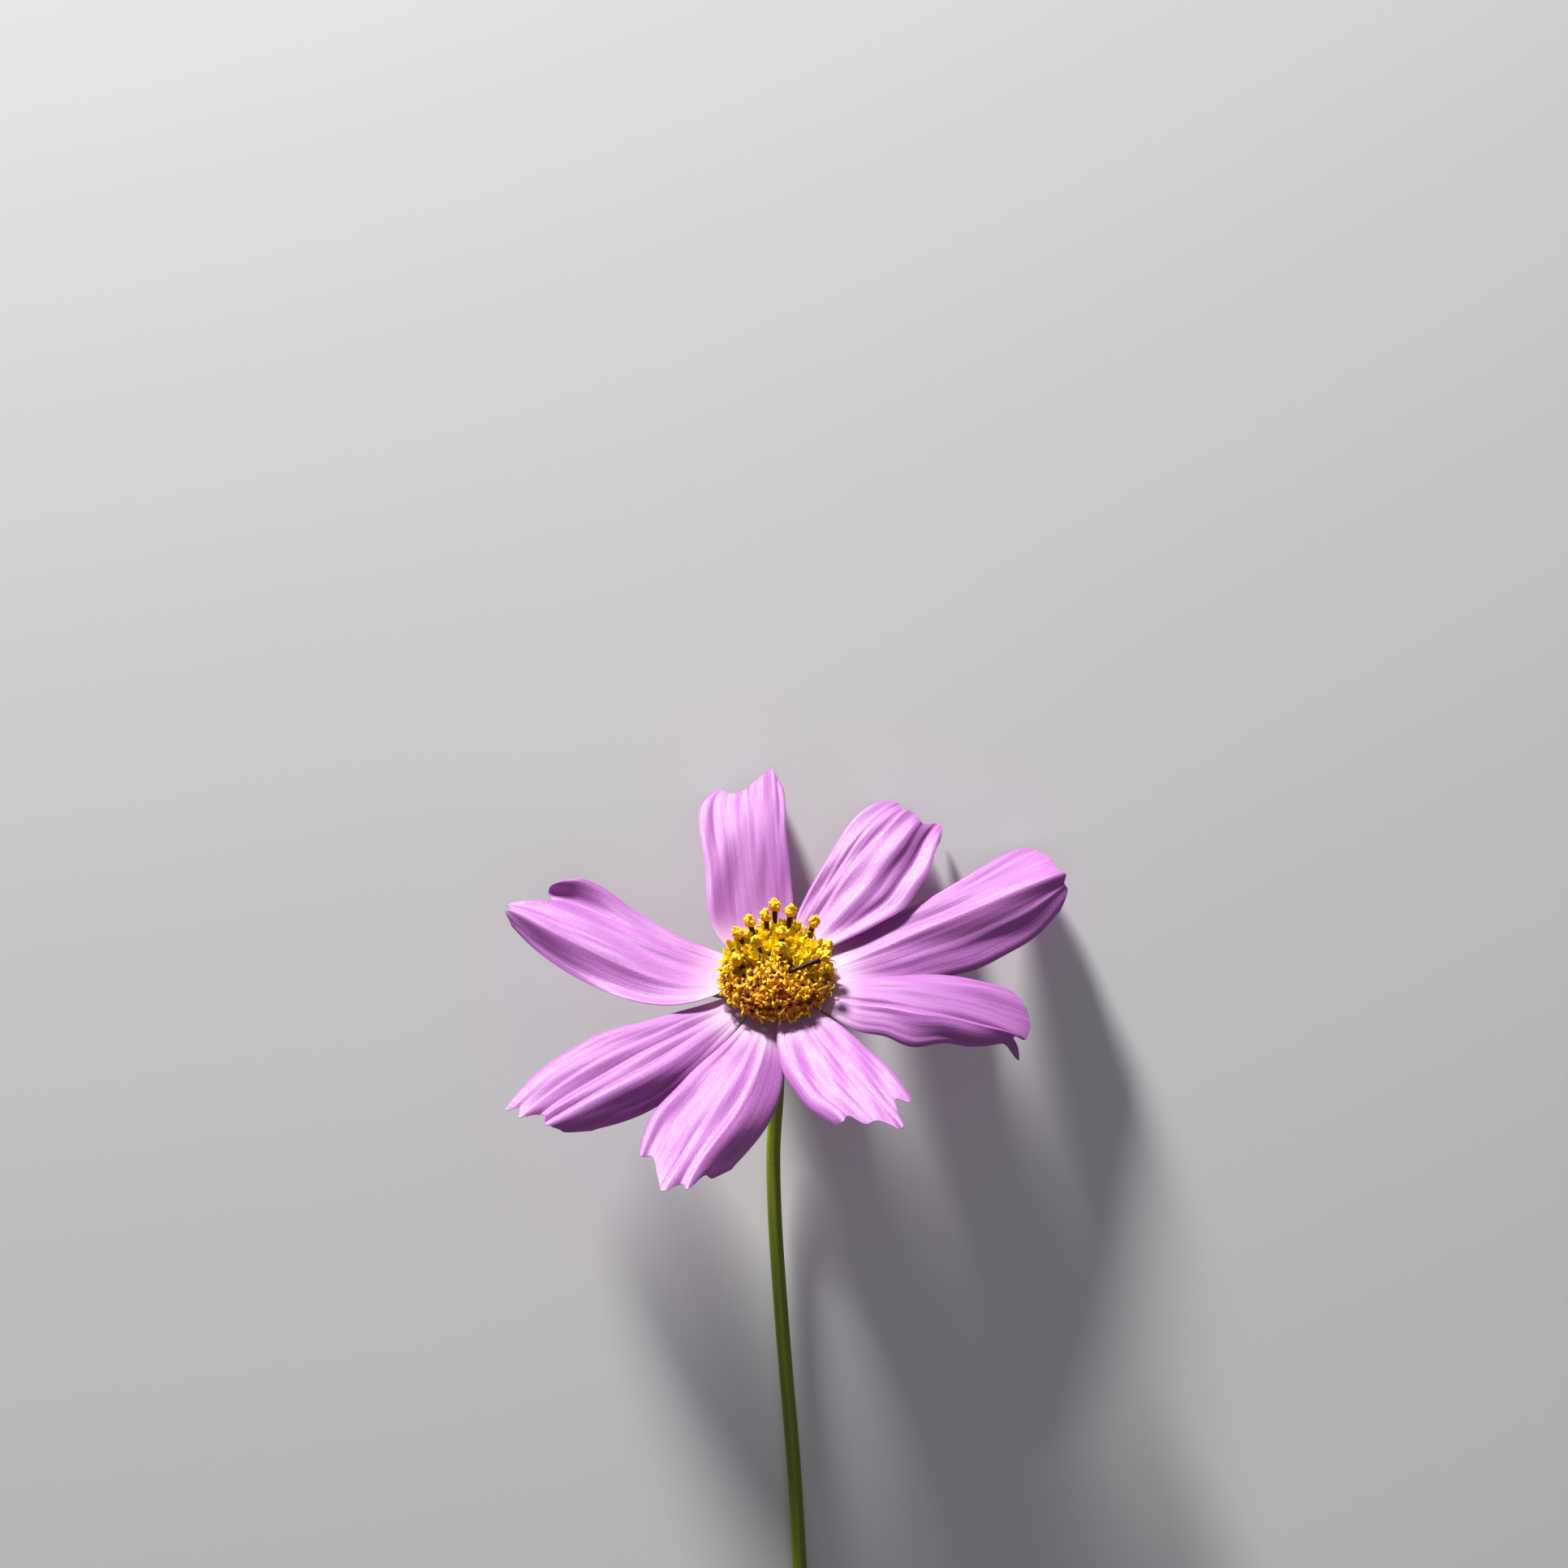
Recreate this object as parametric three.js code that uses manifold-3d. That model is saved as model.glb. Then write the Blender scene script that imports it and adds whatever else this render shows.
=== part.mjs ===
// Cosmos flower picked with a length of its stem, lying on a flat surface with its face up.
// Millimetres, +Z up. +Y runs from the cut end of the stem to the flower's head, and the
// origin is on the surface, under the middle of the whole flower's box.
// It rests on the tips of two petals and on the cut end of the stem.
import * as THREE from 'three';
import { mergeVertices } from 'three/addons/utils/BufferGeometryUtils.js';
import Module from 'manifold-3d';

const wasm = await Module();
wasm.setup();

// The head's centre is where its axis meets the level of the petals' roots, and the axis
// leans from +Z towards +Y.
const HEAD = new THREE.Vector3(-1.2, 36, 13.44);
const HEAD_TILT = THREE.MathUtils.degToRad(42);

// Thickness of petals and bracts, and the gap where one piece sits on the next.
const BLADE_THICKNESS = 0.6;
const SEAT_GAP = 0.35;

// Every petal's root lies this far from the head's axis.
const ROOT_RADIUS = 5.0;
const PETAL_ROWS = 12;
const PETAL_COLUMNS = 17;
const PLEAT_START = 0.3;
const MIDRIB_STEPS = 60;
const SECTION_STEPS = 24;

// Each petal is one blade. Angles are in degrees and lengths in mm. Lists run from root to
// tip, and left is the counterclockwise side seen from the face.
//   azimuth  direction of the root round the head's axis
//   lift     height of the root above the head's centre
//   rise     slope of the midrib out of the petals' plane
//   sweep    turn of the midrib within that plane
//   left, right  half widths
//   roll     turn of the blade round its midrib
//   cup      slope added from the midrib to the edges
//   bends    long folds: side, start, softness, angle
//   folds    pleats: place across the blade, depth, width
//   tip      outline of the tip: place across the blade, reach
const PETALS = {
  petal_1: {
    azimuth: 168, lift: 0, length: 28.2, rise: [6, 8, 8, 2], sweep: [6, -12, -20, 2],
    left: [1.4, 11.2, 4, 8.5, 1.5], right: [1.8, 4.6, 2.6, 11, 2.5], cup: [20, 0, 0],
    bends: [[1, 0.3, 0.25, [0, -40, -50]], [1, 0.75, 0.2, [40, 50, 10]],
      [-1, 0.2, 0.2, [0, -10, -20]], [-1, 0.45, 0.25, [0, 0, 0, 130]]],
    folds: [[-0.05, -0.25, 0.08]],
    tip: [[-1, 0.77], [-0.85, 0.84], [-0.6, 0.86], [-0.4, 0.84], [-0.2, 0.97], [0, 1], [0.35, 0.98],
      [0.65, 1], [1, 0.96]],
  },
  petal_2: {
    azimuth: 104, lift: 0, length: 24.7, rise: [15, 34, 21, -12], sweep: [-4, -8, -12, -11],
    left: [3.4, 10.3, 0, 12, 2.5], right: [1.3, 6.5, 2.5, 5, 4], roll: [0, -10, -25], cup: [30, 25, 0],
    bends: [[1, 0.6, 0.2, [0, 0, 12]], [-1, 0.6, 0.25, [0, -20, -30]]],
    folds: [[-0.35, -0.5, 0.16], [0.35, -0.5, 0.16]],
    tip: [[-1, 0.8], [-0.9, 0.85], [-0.75, 0.91], [-0.4, 0.93], [-0.1, 0.88], [0.15, 0.85], [0.5, 0.87],
      [0.8, 0.9], [1, 0.83]],
  },
  petal_3: {
    azimuth: 59, lift: 0.3, length: 24, rise: [12, 20, 15, -9], sweep: [2, -8, -6],
    left: [1.2, 3.6, 2.6, 6.6, 3], right: [1.2, 4.6, 12, 6.5, 5.4], cup: [20, 0, 0],
    bends: [[-1, 0.3, 0.2, [0, -40, -60]], [-1, 0.55, 0.2, [0, 50, 90]]],
    folds: [[0.2, -0.3, 0.08], [-0.1, -0.3, 0.08]],
    tip: [[-1, 0.94], [-0.9, 1.01], [-0.7, 1.04], [-0.45, 0.96], [-0.15, 0.98], [0.3, 0.96], [0.6, 0.98],
      [0.8, 0.96], [1, 0.93]],
  },
  petal_4: {
    azimuth: 20, lift: -0.3, length: 32.3, rise: [8, 4, 2], sweep: [4, 6, 6, 4],
    left: [1.3, 5.7, 1.3, 5.9, 8], right: [1.2, 7.2, 6.5, 9.3, 2.7], roll: [0, -8, -14], cup: [10, 5, 5],
    bends: [[-1, 0, 0.15, [0, -60, -60]], [-1, 0.5, 0.2, [0, 12, 12]]],
    folds: [[0.3, -0.3, 0.08]],
    tip: [[-1, 0.93], [-0.8, 0.98], [-0.4, 0.97], [-0.1, 1], [0.15, 0.98], [0.4, 0.99], [0.65, 0.965],
      [0.88, 0.93], [1, 0.87]],
  },
  petal_5: {
    azimuth: 342, lift: 0.3, length: 26.3, rise: [8, 4, -10, -30], sweep: [6, 8, 8, 4],
    left: [1.2, 2.5, 6.5, 5.6, 9], right: [1.5, 6.6, 6.4, 3.4, 0.8], cup: [10, 0, 0],
    bends: [[-1, 0.35, 0.15, [0, -30, -60]], [-1, 0.1, 0.15, [0, -10, 0]],
      [1, 0.5, 0.3, [0, -10, -40]]],
    folds: [[-0.28, 0.3, 0.07], [-0.15, -0.3, 0.07]],
    tip: [[-1, 0.8], [-0.85, 0.87], [-0.65, 0.97], [-0.45, 0.9], [-0.1, 0.95], [0.2, 0.96], [0.45, 0.93],
      [0.7, 0.88], [1, 0.83]],
  },
  petal_6: {
    azimuth: 295, lift: 0.45, length: 23.8, rise: [4, 14, 14], sweep: [0, 2, 6],
    left: [1.5, 4.6, 6.2, 5, 4.2], right: [1.6, 5.6, 8.4, 3.2, 5.4], cup: [0, 0, 0],
    bends: [[-1, 0.6, 0.3, [0, -40, -50]]],
    folds: [[0.1, -0.3, 0.1], [-0.4, -0.3, 0.1]],
    tip: [[-1, 0.76], [-0.75, 0.81], [-0.55, 0.79], [-0.35, 0.88], [-0.1, 0.9], [0.1, 0.96], [0.3, 1.02],
      [0.45, 0.92], [0.6, 0.83], [0.85, 0.88], [1, 0.86]],
  },
  petal_7: {
    azimuth: 250, lift: -0.35, length: 28.8, rise: [4, 6, 4], sweep: [0, -4, -4],
    left: [1.6, 5.4, 12, 3.1, 6.6], right: [1.1, 1.4, 8.3, 6, 4.3], cup: [0, 0, 0],
    bends: [[1, 0.4, 0.25, [0, -50, -60]], [-1, 0.7, 0.25, [0, -20, -40]]],
    folds: [[-0.5, -0.4, 0.12], [0.3, -0.2, 0.06]],
    tip: [[-1, 0.8], [-0.85, 0.88], [-0.6, 0.87], [-0.2, 0.97], [0.05, 1.02], [0.3, 0.95], [0.45, 0.97],
      [0.6, 0.87], [0.8, 0.84], [1, 0.73]],
  },
  petal_8: {
    azimuth: 216, lift: -0.55, length: 31.5, rise: [4, 4, 0], sweep: [-4, 4, 6],
    left: [1, 5, 10.4, 5, 2.4], right: [1.6, 1.6, 8, 6.5, 3.8], cup: [5, 0, 0],
    bends: [[1, 0.35, 0.2, [0, -60, -60]], [-1, 0.6, 0.3, [0, -10, -10]]],
    folds: [[-0.1, -0.5, 0.1], [0.2, -0.3, 0.06]],
    tip: [[-1, 0.91], [-0.85, 0.98], [-0.6, 0.94], [-0.35, 0.97], [-0.1, 0.9], [0.35, 0.92], [0.7, 0.88],
      [1, 0.85]],
  },
};

// The disc is a low dome of florets round a core. Heights are above the head's centre.
const DISC_SEED = 11;
const FLORETS = 50;
const FLORET_SPREAD = 5.5;
const CORE_FOOT = -0.5;
const CORE_FOOT_RADIUS = 4.3;
const CORE_RIM = 0.9;
const CORE_RIM_RADIUS = 5.3;
const CORE_TOP = 3.4;
const CORE_BANDS = 5;
const FLORET_LEAN = THREE.MathUtils.degToRad(50);
const FLORET_SINK = 1.2;
const FLORET_LENGTH = 2.0;
const FLORET_MOUTH = 0.68;
const FLORET_FOOT = 0.4;
const ANTHER_LENGTH = 2.6;
const ANTHER_SINK = 0.6;
const ANTHER_TOP = 0.36;
const ANTHER_FOOT = 0.32;
const KNOB_RADIUS = 0.6;
const BUD_RADIUS = 0.65;
// Florets open from the rim inwards, on the far side first, and a few of the others are open too.
const OPEN_RADIUS = 0.45;
const OPEN_SIDE = -0.3;
const OPEN_CHANCE = 0.15;

// Under the petals come a ring of broad thin bracts, one below each petal, then the green top
// of the stem with its own ring of narrow bracts, which start at this share of a step.
const BRACTS = 8;
const RING_INNER = 3.3;
const RING_OUTER = 5.4;
const RING_TOP = -1.15;
const RING_BOTTOM = -1.75;
const INNER_BRACT = {
  lift: -1.45, root: 4.6, length: 7.6, rise: [-6, -10, 4], half: [1.5, 2.3, 1.9, 0.3],
  cup: [0, 8, 20],
};
const OUTER_BRACT = {
  lift: -2.9, root: 3.0, length: 7.6, rise: [-10, -14, 6], half: [0.9, 1.2, 0.7, 0.3],
  cup: [10, 14, 14],
};
const OUTER_BRACT_TURN = 0.7;
const BRACT_ROWS = 6;
const BRACT_COLUMNS = 3;
const TURNED_SIDES = 24;
const BOSS_RADIUS = 2.95;
const BOSS_TOP = CORE_FOOT - SEAT_GAP;
const CALYX_TOP = RING_BOTTOM - SEAT_GAP;
const CALYX_RADIUS = 4.9;
const CALYX_FOOT = -6.2;
const CALYX_PROFILE = [[0, CALYX_FOOT], [1.15, CALYX_FOOT], [1.5, -5], [2.7, -4.1], [4.2, -3.2],
  [CALYX_RADIUS, -2.6]];

const STEM_RADIUS = 0.9;
const STEM_GROOVE = 0.25;
const STEM_SIDES = 10;
const STEM_STEPS = 40;
// The stem leaves the calyx along the head's axis and then follows its route, which is
// measured from the head's centre.
const STEM_TOP = CALYX_FOOT - SEAT_GAP;
const STEM_NECK = 2.4;
const STEM_ROUTE = [[0, -12.2, -10], [-0.45, -20, -10.9], [-0.3, -27.5, -11.2], [0.3, -37, -11.45],
  [1.05, -46.5, -11.65], [1.9, -56.5, -11.85], [2.6, -68, -12.05], [3.3, -82, -12.25],
  [3.7, -97, -12.55]];

const SKINS = {
  petal: { color: 0xd08fd6, roughness: 0.6 },
  disc: { color: 0xe0a514, roughness: 0.7 },
  stem: { color: 0x5c7a24, roughness: 0.55 },
  bract: { color: 0x9aa35a, roughness: 0.6 },
};

// Value at s, 0 to 1, of the Bezier polynomial with the given control values.
function bezier(values, s) {
  let level = values.slice();
  while (level.length > 1) {
    level = level.slice(1).map((value, i) => level[i] + (value - level[i]) * s);
  }
  return level[0];
}

function smooth(x) {
  const s = THREE.MathUtils.clamp(x, 0, 1);
  return s * s * (3 - 2 * s);
}

function angle(values, s) {
  return THREE.MathUtils.degToRad(bezier(values, s));
}

function solid(geometry) {
  const bare = geometry.clone();
  bare.deleteAttribute('normal');
  bare.deleteAttribute('uv');
  const merged = mergeVertices(bare, 1e-5);
  return new wasm.Manifold(new wasm.Mesh({
    numProp: 3,
    vertProperties: new Float32Array(merged.attributes.position.array),
    triVerts: new Uint32Array(merged.index.array),
  }));
}

function fuse(geometries) {
  const mesh = geometries.map(solid).reduce((sum, next) => sum.add(next)).getMesh();
  const geometry = new THREE.BufferGeometry();
  geometry.setAttribute('position', new THREE.BufferAttribute(mesh.vertProperties, 3));
  geometry.setIndex(new THREE.BufferAttribute(mesh.triVerts, 1));
  return geometry;
}

function part(name, geometry, skin) {
  const material = new THREE.MeshStandardMaterial({ ...SKINS[skin], metalness: 0 });
  const mesh = new THREE.Mesh(geometry, material);
  mesh.name = name;
  return mesh;
}

// Closed blade round a grid of points, rows from root to tip and columns from right to left.
// Both faces have their quads split alike.
function bladeGeometry(grid) {
  const rows = grid.length;
  const columns = grid[0].length;
  const front = [];
  const back = [];
  const along = new THREE.Vector3();
  const across = new THREE.Vector3();
  for (let i = 0; i < rows; i += 1) {
    for (let j = 0; j < columns; j += 1) {
      along.subVectors(grid[Math.min(i + 1, rows - 1)][j], grid[Math.max(i - 1, 0)][j]);
      across.subVectors(grid[i][Math.min(j + 1, columns - 1)], grid[i][Math.max(j - 1, 0)]);
      const half = along.cross(across).setLength(BLADE_THICKNESS / 2);
      front.push(...grid[i][j].clone().add(half).toArray());
      back.push(...grid[i][j].clone().sub(half).toArray());
    }
  }
  const index = [];
  const offset = rows * columns;
  const quad = (a, b, c, d) => index.push(a, b, c, a, c, d);
  for (let i = 0; i < rows - 1; i += 1) {
    for (let j = 0; j < columns - 1; j += 1) {
      const a = i * columns + j;
      const b = a + columns;
      index.push(a, b, b + 1, a, b + 1, a + 1);
      index.push(offset + a, offset + b + 1, offset + b, offset + a, offset + a + 1, offset + b + 1);
    }
  }
  for (let j = 0; j < columns - 1; j += 1) {
    const tip = (rows - 1) * columns + j;
    quad(j, j + 1, offset + j + 1, offset + j);
    quad(tip + 1, tip, offset + tip, offset + tip + 1);
  }
  for (let i = 0; i < rows - 1; i += 1) {
    const right = i * columns;
    const left = right + columns - 1;
    quad(right + columns, right, offset + right, offset + right + columns);
    quad(left, left + columns, offset + left + columns, offset + left);
  }
  const geometry = new THREE.BufferGeometry();
  geometry.setAttribute('position', new THREE.Float32BufferAttribute([...front, ...back], 3));
  geometry.setIndex(index);
  return geometry;
}

// Midrib of a blade: point, side direction and face normal at each step from root to tip.
function midrib(shape) {
  const azimuth = THREE.MathUtils.degToRad(shape.azimuth);
  const outward = new THREE.Vector3(Math.cos(azimuth), Math.sin(azimuth), 0);
  const sideways = new THREE.Vector3(-Math.sin(azimuth), Math.cos(azimuth), 0);
  const axis = new THREE.Vector3(0, 0, 1);
  const step = shape.length / MIDRIB_STEPS;
  const point = outward.clone().multiplyScalar(shape.root ?? ROOT_RADIUS);
  point.addScaledVector(axis, shape.lift);
  const frames = [];
  for (let i = 0; i <= MIDRIB_STEPS; i += 1) {
    const s = i / MIDRIB_STEPS;
    const rise = angle(shape.rise, s);
    const turn = angle(shape.sweep ?? [0], s);
    const forward = outward.clone().multiplyScalar(Math.cos(turn))
      .addScaledVector(sideways, Math.sin(turn));
    forward.multiplyScalar(Math.cos(rise)).addScaledVector(axis, Math.sin(rise));
    const side = axis.clone().cross(forward).normalize();
    frames.push({ point: point.clone(), side, normal: forward.clone().cross(side) });
    point.addScaledVector(forward, step);
  }
  return frames;
}

// Reach of a petal's tip at q, which runs from -1 at the right edge to 1 at the left edge.
function tipReach(tip, q) {
  const next = Math.max(tip.findIndex(([place]) => place >= q), 1);
  const [from, low] = tip[next - 1];
  const [to, high] = tip[next];
  return low + (high - low) * smooth((q - from) / (to - from));
}

// Point of a petal at t, 0 to 1 from root to tip, and q, -1 to 1 from right edge to left edge.
function petalPoint(shape, frames, t, q) {
  const reach = tipReach(shape.tip, q);
  const s = t - (1 - reach) * t * t;
  const at = Math.min(Math.max(s, 0), 1) * MIDRIB_STEPS;
  const low = Math.min(Math.floor(at), MIDRIB_STEPS - 1);
  const mix = at - low;
  const blend = (key) => frames[low][key].clone().lerp(frames[low + 1][key], mix);
  const point = blend('point');
  const side = blend('side').normalize();
  const normal = blend('normal').normalize();
  const along = Math.min(Math.max(s, 0), 1.1);
  const half = bezier(q > 0 ? shape.left : shape.right, along);
  const stride = q / SECTION_STEPS;
  let x = 0;
  let z = 0;
  let slope = 0;
  for (let i = 0; i < SECTION_STEPS; i += 1) {
    const place = (i + 0.5) * stride;
    slope = angle(shape.roll ?? [0], along) + angle(shape.cup, along) * place;
    for (const [edge, start, soft, angles] of shape.bends) {
      slope += edge * angle(angles, along) * smooth((edge * place - start) / soft);
    }
    x += Math.cos(slope) * half * stride;
    z += Math.sin(slope) * half * stride;
  }
  const pleat = smooth(along / PLEAT_START) * shape.folds.reduce((sum, [place, depth, width]) => (
    sum + depth * Math.exp(-(((q - place) / width) ** 2))), 0);
  return point.addScaledVector(side, x - Math.sin(slope) * pleat)
    .addScaledVector(normal, z + Math.cos(slope) * pleat);
}

function petalGeometry(shape) {
  const frames = midrib(shape);
  const grid = [];
  for (let i = 0; i < PETAL_ROWS; i += 1) {
    const row = [];
    for (let j = 0; j < PETAL_COLUMNS; j += 1) {
      const t = i / (PETAL_ROWS - 1);
      const q = 2 * j / (PETAL_COLUMNS - 1) - 1;
      row.push(petalPoint(shape, frames, t, q));
    }
    grid.push(row);
  }
  return bladeGeometry(grid);
}

function bractGeometry(shape, azimuth) {
  const frames = midrib({ ...shape, azimuth });
  const grid = [];
  for (let i = 0; i < BRACT_ROWS; i += 1) {
    const s = i / (BRACT_ROWS - 1);
    const { point, side, normal } = frames[Math.round(s * MIDRIB_STEPS)];
    const half = bezier(shape.half, s);
    const cup = angle(shape.cup, s);
    const row = [];
    for (let j = 0; j < BRACT_COLUMNS; j += 1) {
      const q = 2 * j / (BRACT_COLUMNS - 1) - 1;
      row.push(point.clone().addScaledVector(side, q * half)
        .addScaledVector(normal, q * q * half * Math.sin(cup)));
    }
    grid.push(row);
  }
  return bladeGeometry(grid);
}

// Solid turned round the head's axis from a profile of radius and height, bottom first.
function turned(profile) {
  const outline = profile.map(([r, h]) => new THREE.Vector2(r, h));
  return new THREE.LatheGeometry(outline, TURNED_SIDES).rotateX(Math.PI / 2);
}

function receptacleGeometry() {
  const body = turned([...CALYX_PROFILE, [CALYX_RADIUS, CALYX_TOP], [BOSS_RADIUS, CALYX_TOP],
    [BOSS_RADIUS, BOSS_TOP], [0, BOSS_TOP]]);
  const bracts = [];
  for (let i = 0; i < BRACTS; i += 1) {
    bracts.push(bractGeometry(OUTER_BRACT, (i + OUTER_BRACT_TURN) * 360 / BRACTS));
  }
  return fuse([body, ...bracts]);
}

function innerBractsGeometry() {
  const ring = turned([[RING_INNER, RING_BOTTOM], [RING_OUTER, RING_BOTTOM], [RING_OUTER, RING_TOP],
    [RING_INNER, RING_TOP], [RING_INNER, RING_BOTTOM]]);
  const bracts = Object.values(PETALS).map(({ azimuth }) => bractGeometry(INNER_BRACT, azimuth));
  return fuse([ring, ...bracts]);
}

// Height of the core's surface at a distance from the head's axis.
function domeHeight(radius) {
  return CORE_RIM + (CORE_TOP - CORE_RIM) * Math.sqrt(1 - (radius / (FLORET_SPREAD + 0.3)) ** 2);
}

// Floret number i of the disc's spiral: a flaring tube and, on the open ones, an anther tube
// with a knob of pollen. It stands on +Z before it is turned into place.
function floretPieces(i, random) {
  const radius = FLORET_SPREAD * Math.sqrt((i + 0.5) / FLORETS);
  const turn = i * Math.PI * (3 - Math.sqrt(5));
  const outer = radius / FLORET_SPREAD;
  const far = Math.sin(turn) * outer;
  const lean = FLORET_LEAN * outer ** 1.3 + (random() - 0.5) * 0.16;
  const open = outer > OPEN_RADIUS && far > OPEN_SIDE || random() < OPEN_CHANCE;
  const tall = FLORET_LENGTH * (0.75 + 0.25 * outer) + (random() - 0.5) * 0.3;
  const pieces = [];
  const tube = new THREE.CylinderGeometry(FLORET_MOUTH, FLORET_FOOT, tall + FLORET_SINK, 5, 1);
  pieces.push(tube.translate(0, (tall - FLORET_SINK) / 2, 0));
  if (open) {
    const reach = ANTHER_LENGTH * (0.55 + 0.45 * Math.max(far, 0)) + (random() - 0.5) * 0.4;
    pieces.push(new THREE.CylinderGeometry(ANTHER_TOP, ANTHER_FOOT, reach + ANTHER_SINK, 4, 1)
      .translate(0, tall + (reach - ANTHER_SINK) / 2, 0));
    pieces.push(new THREE.OctahedronGeometry(KNOB_RADIUS, 0).translate(0, tall + reach, 0));
  } else {
    pieces.push(new THREE.OctahedronGeometry(BUD_RADIUS, 0).translate(0, tall + 0.1, 0));
  }
  const place = new THREE.Matrix4().makeTranslation(radius * Math.cos(turn), radius * Math.sin(turn),
    domeHeight(radius));
  const stand = new THREE.Matrix4().makeRotationZ(turn)
    .multiply(new THREE.Matrix4().makeRotationY(lean))
    .multiply(new THREE.Matrix4().makeRotationX(Math.PI / 2));
  return pieces.map((piece) => piece.applyMatrix4(place.clone().multiply(stand)));
}

function seeded(seed) {
  let state = seed;
  return () => {
    state = (state * 1103515245 + 12345) % 2147483648;
    return state / 2147483648;
  };
}

function discGeometry() {
  const profile = [[0, CORE_FOOT], [CORE_FOOT_RADIUS, CORE_FOOT], [CORE_FOOT_RADIUS, 0.55],
    [CORE_RIM_RADIUS, CORE_RIM + 0.3]];
  for (let k = 1; k < CORE_BANDS; k += 1) {
    const radius = CORE_RIM_RADIUS * Math.cos(k * Math.PI / (2 * CORE_BANDS));
    profile.push([radius, domeHeight(radius)]);
  }
  profile.push([0, domeHeight(0)]);
  const random = seeded(DISC_SEED);
  const pieces = [turned(profile)];
  for (let i = 0; i < FLORETS; i += 1) {
    pieces.push(...floretPieces(i, random));
  }
  return fuse(pieces);
}

function stemGeometry() {
  const axis = new THREE.Vector3(0, Math.sin(HEAD_TILT), Math.cos(HEAD_TILT));
  const route = [STEM_TOP, STEM_TOP - STEM_NECK].map((height) => axis.clone().multiplyScalar(height));
  route.push(...STEM_ROUTE.map((point) => new THREE.Vector3(...point)));
  const section = new THREE.Shape();
  for (let k = 0; k < STEM_SIDES; k += 1) {
    const turn = 2 * Math.PI * k / STEM_SIDES;
    const radius = STEM_RADIUS - (k === 0 ? STEM_GROOVE : 0);
    section[k === 0 ? 'moveTo' : 'lineTo'](radius * Math.cos(turn), radius * Math.sin(turn));
  }
  return new THREE.ExtrudeGeometry(section, {
    steps: STEM_STEPS, extrudePath: new THREE.CatmullRomCurve3(route), curveSegments: 1,
  });
}

const head = new THREE.Group();
head.rotation.x = -HEAD_TILT;
head.add(part('receptacle', receptacleGeometry(), 'stem'));
head.add(part('inner_bracts', innerBractsGeometry(), 'bract'));
head.add(part('disc', discGeometry(), 'disc'));
for (const [name, shape] of Object.entries(PETALS)) {
  head.add(part(name, petalGeometry(shape), 'petal'));
}

const flower = new THREE.Group();
flower.position.copy(HEAD);
flower.add(part('stem', stemGeometry(), 'stem'));
flower.add(head);

export default flower;
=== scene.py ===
"""Picked cosmos flower lying face up: petals, disc, bracts and stem, finer than their solids."""

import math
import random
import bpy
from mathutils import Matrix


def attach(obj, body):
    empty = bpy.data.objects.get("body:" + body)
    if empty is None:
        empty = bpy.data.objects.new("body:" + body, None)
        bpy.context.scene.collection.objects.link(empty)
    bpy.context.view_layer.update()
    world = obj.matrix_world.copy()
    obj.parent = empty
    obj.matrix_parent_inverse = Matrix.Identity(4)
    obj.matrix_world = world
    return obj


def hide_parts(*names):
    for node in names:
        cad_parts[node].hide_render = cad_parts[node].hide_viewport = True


bl_info = {
    "name": "Cosmos Flower",
    "version": (1, 0, 0),
    "blender": (4, 5, 0),
    "location": "View3D > Sidebar > Cosmos",
    "description": "Makes the petals, disc, bracts and stem of a picked cosmos flower",
    "category": "Add Mesh",
}

import bpy
import numpy as np
from mathutils import Matrix, Vector

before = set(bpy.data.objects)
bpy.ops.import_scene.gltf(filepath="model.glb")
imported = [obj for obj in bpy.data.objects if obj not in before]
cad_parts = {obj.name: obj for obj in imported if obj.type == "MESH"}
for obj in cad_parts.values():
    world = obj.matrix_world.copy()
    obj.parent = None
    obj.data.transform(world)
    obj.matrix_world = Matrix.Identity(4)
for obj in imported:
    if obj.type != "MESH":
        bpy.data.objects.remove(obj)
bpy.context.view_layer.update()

# Lengths are in millimetres up to the point where a mesh is placed, and then in metres.
MM = 0.001
HEAD = Vector((-1.2, 36.0, 13.44))
HEAD_TILT = math.radians(42)
HEAD_PLACE = Matrix.Translation(HEAD) @ Matrix.Rotation(-HEAD_TILT, 4, "X")
TO_METRES = Matrix.Scale(MM, 4)

# The photograph is taken from straight above the petals, at this distance and scale.
PHOTO_DISTANCE = 680.0
PHOTO_MM_PER_PIXEL = 0.094
PHOTO_PIXELS = 1932
HEAD_PIXEL = (957.0, 1212.0)
SENSOR_WIDTH = 36.0

MIDRIB_STEPS = 60
SECTION_STEPS = 24
ROOT_RADIUS = 5.0

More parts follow.
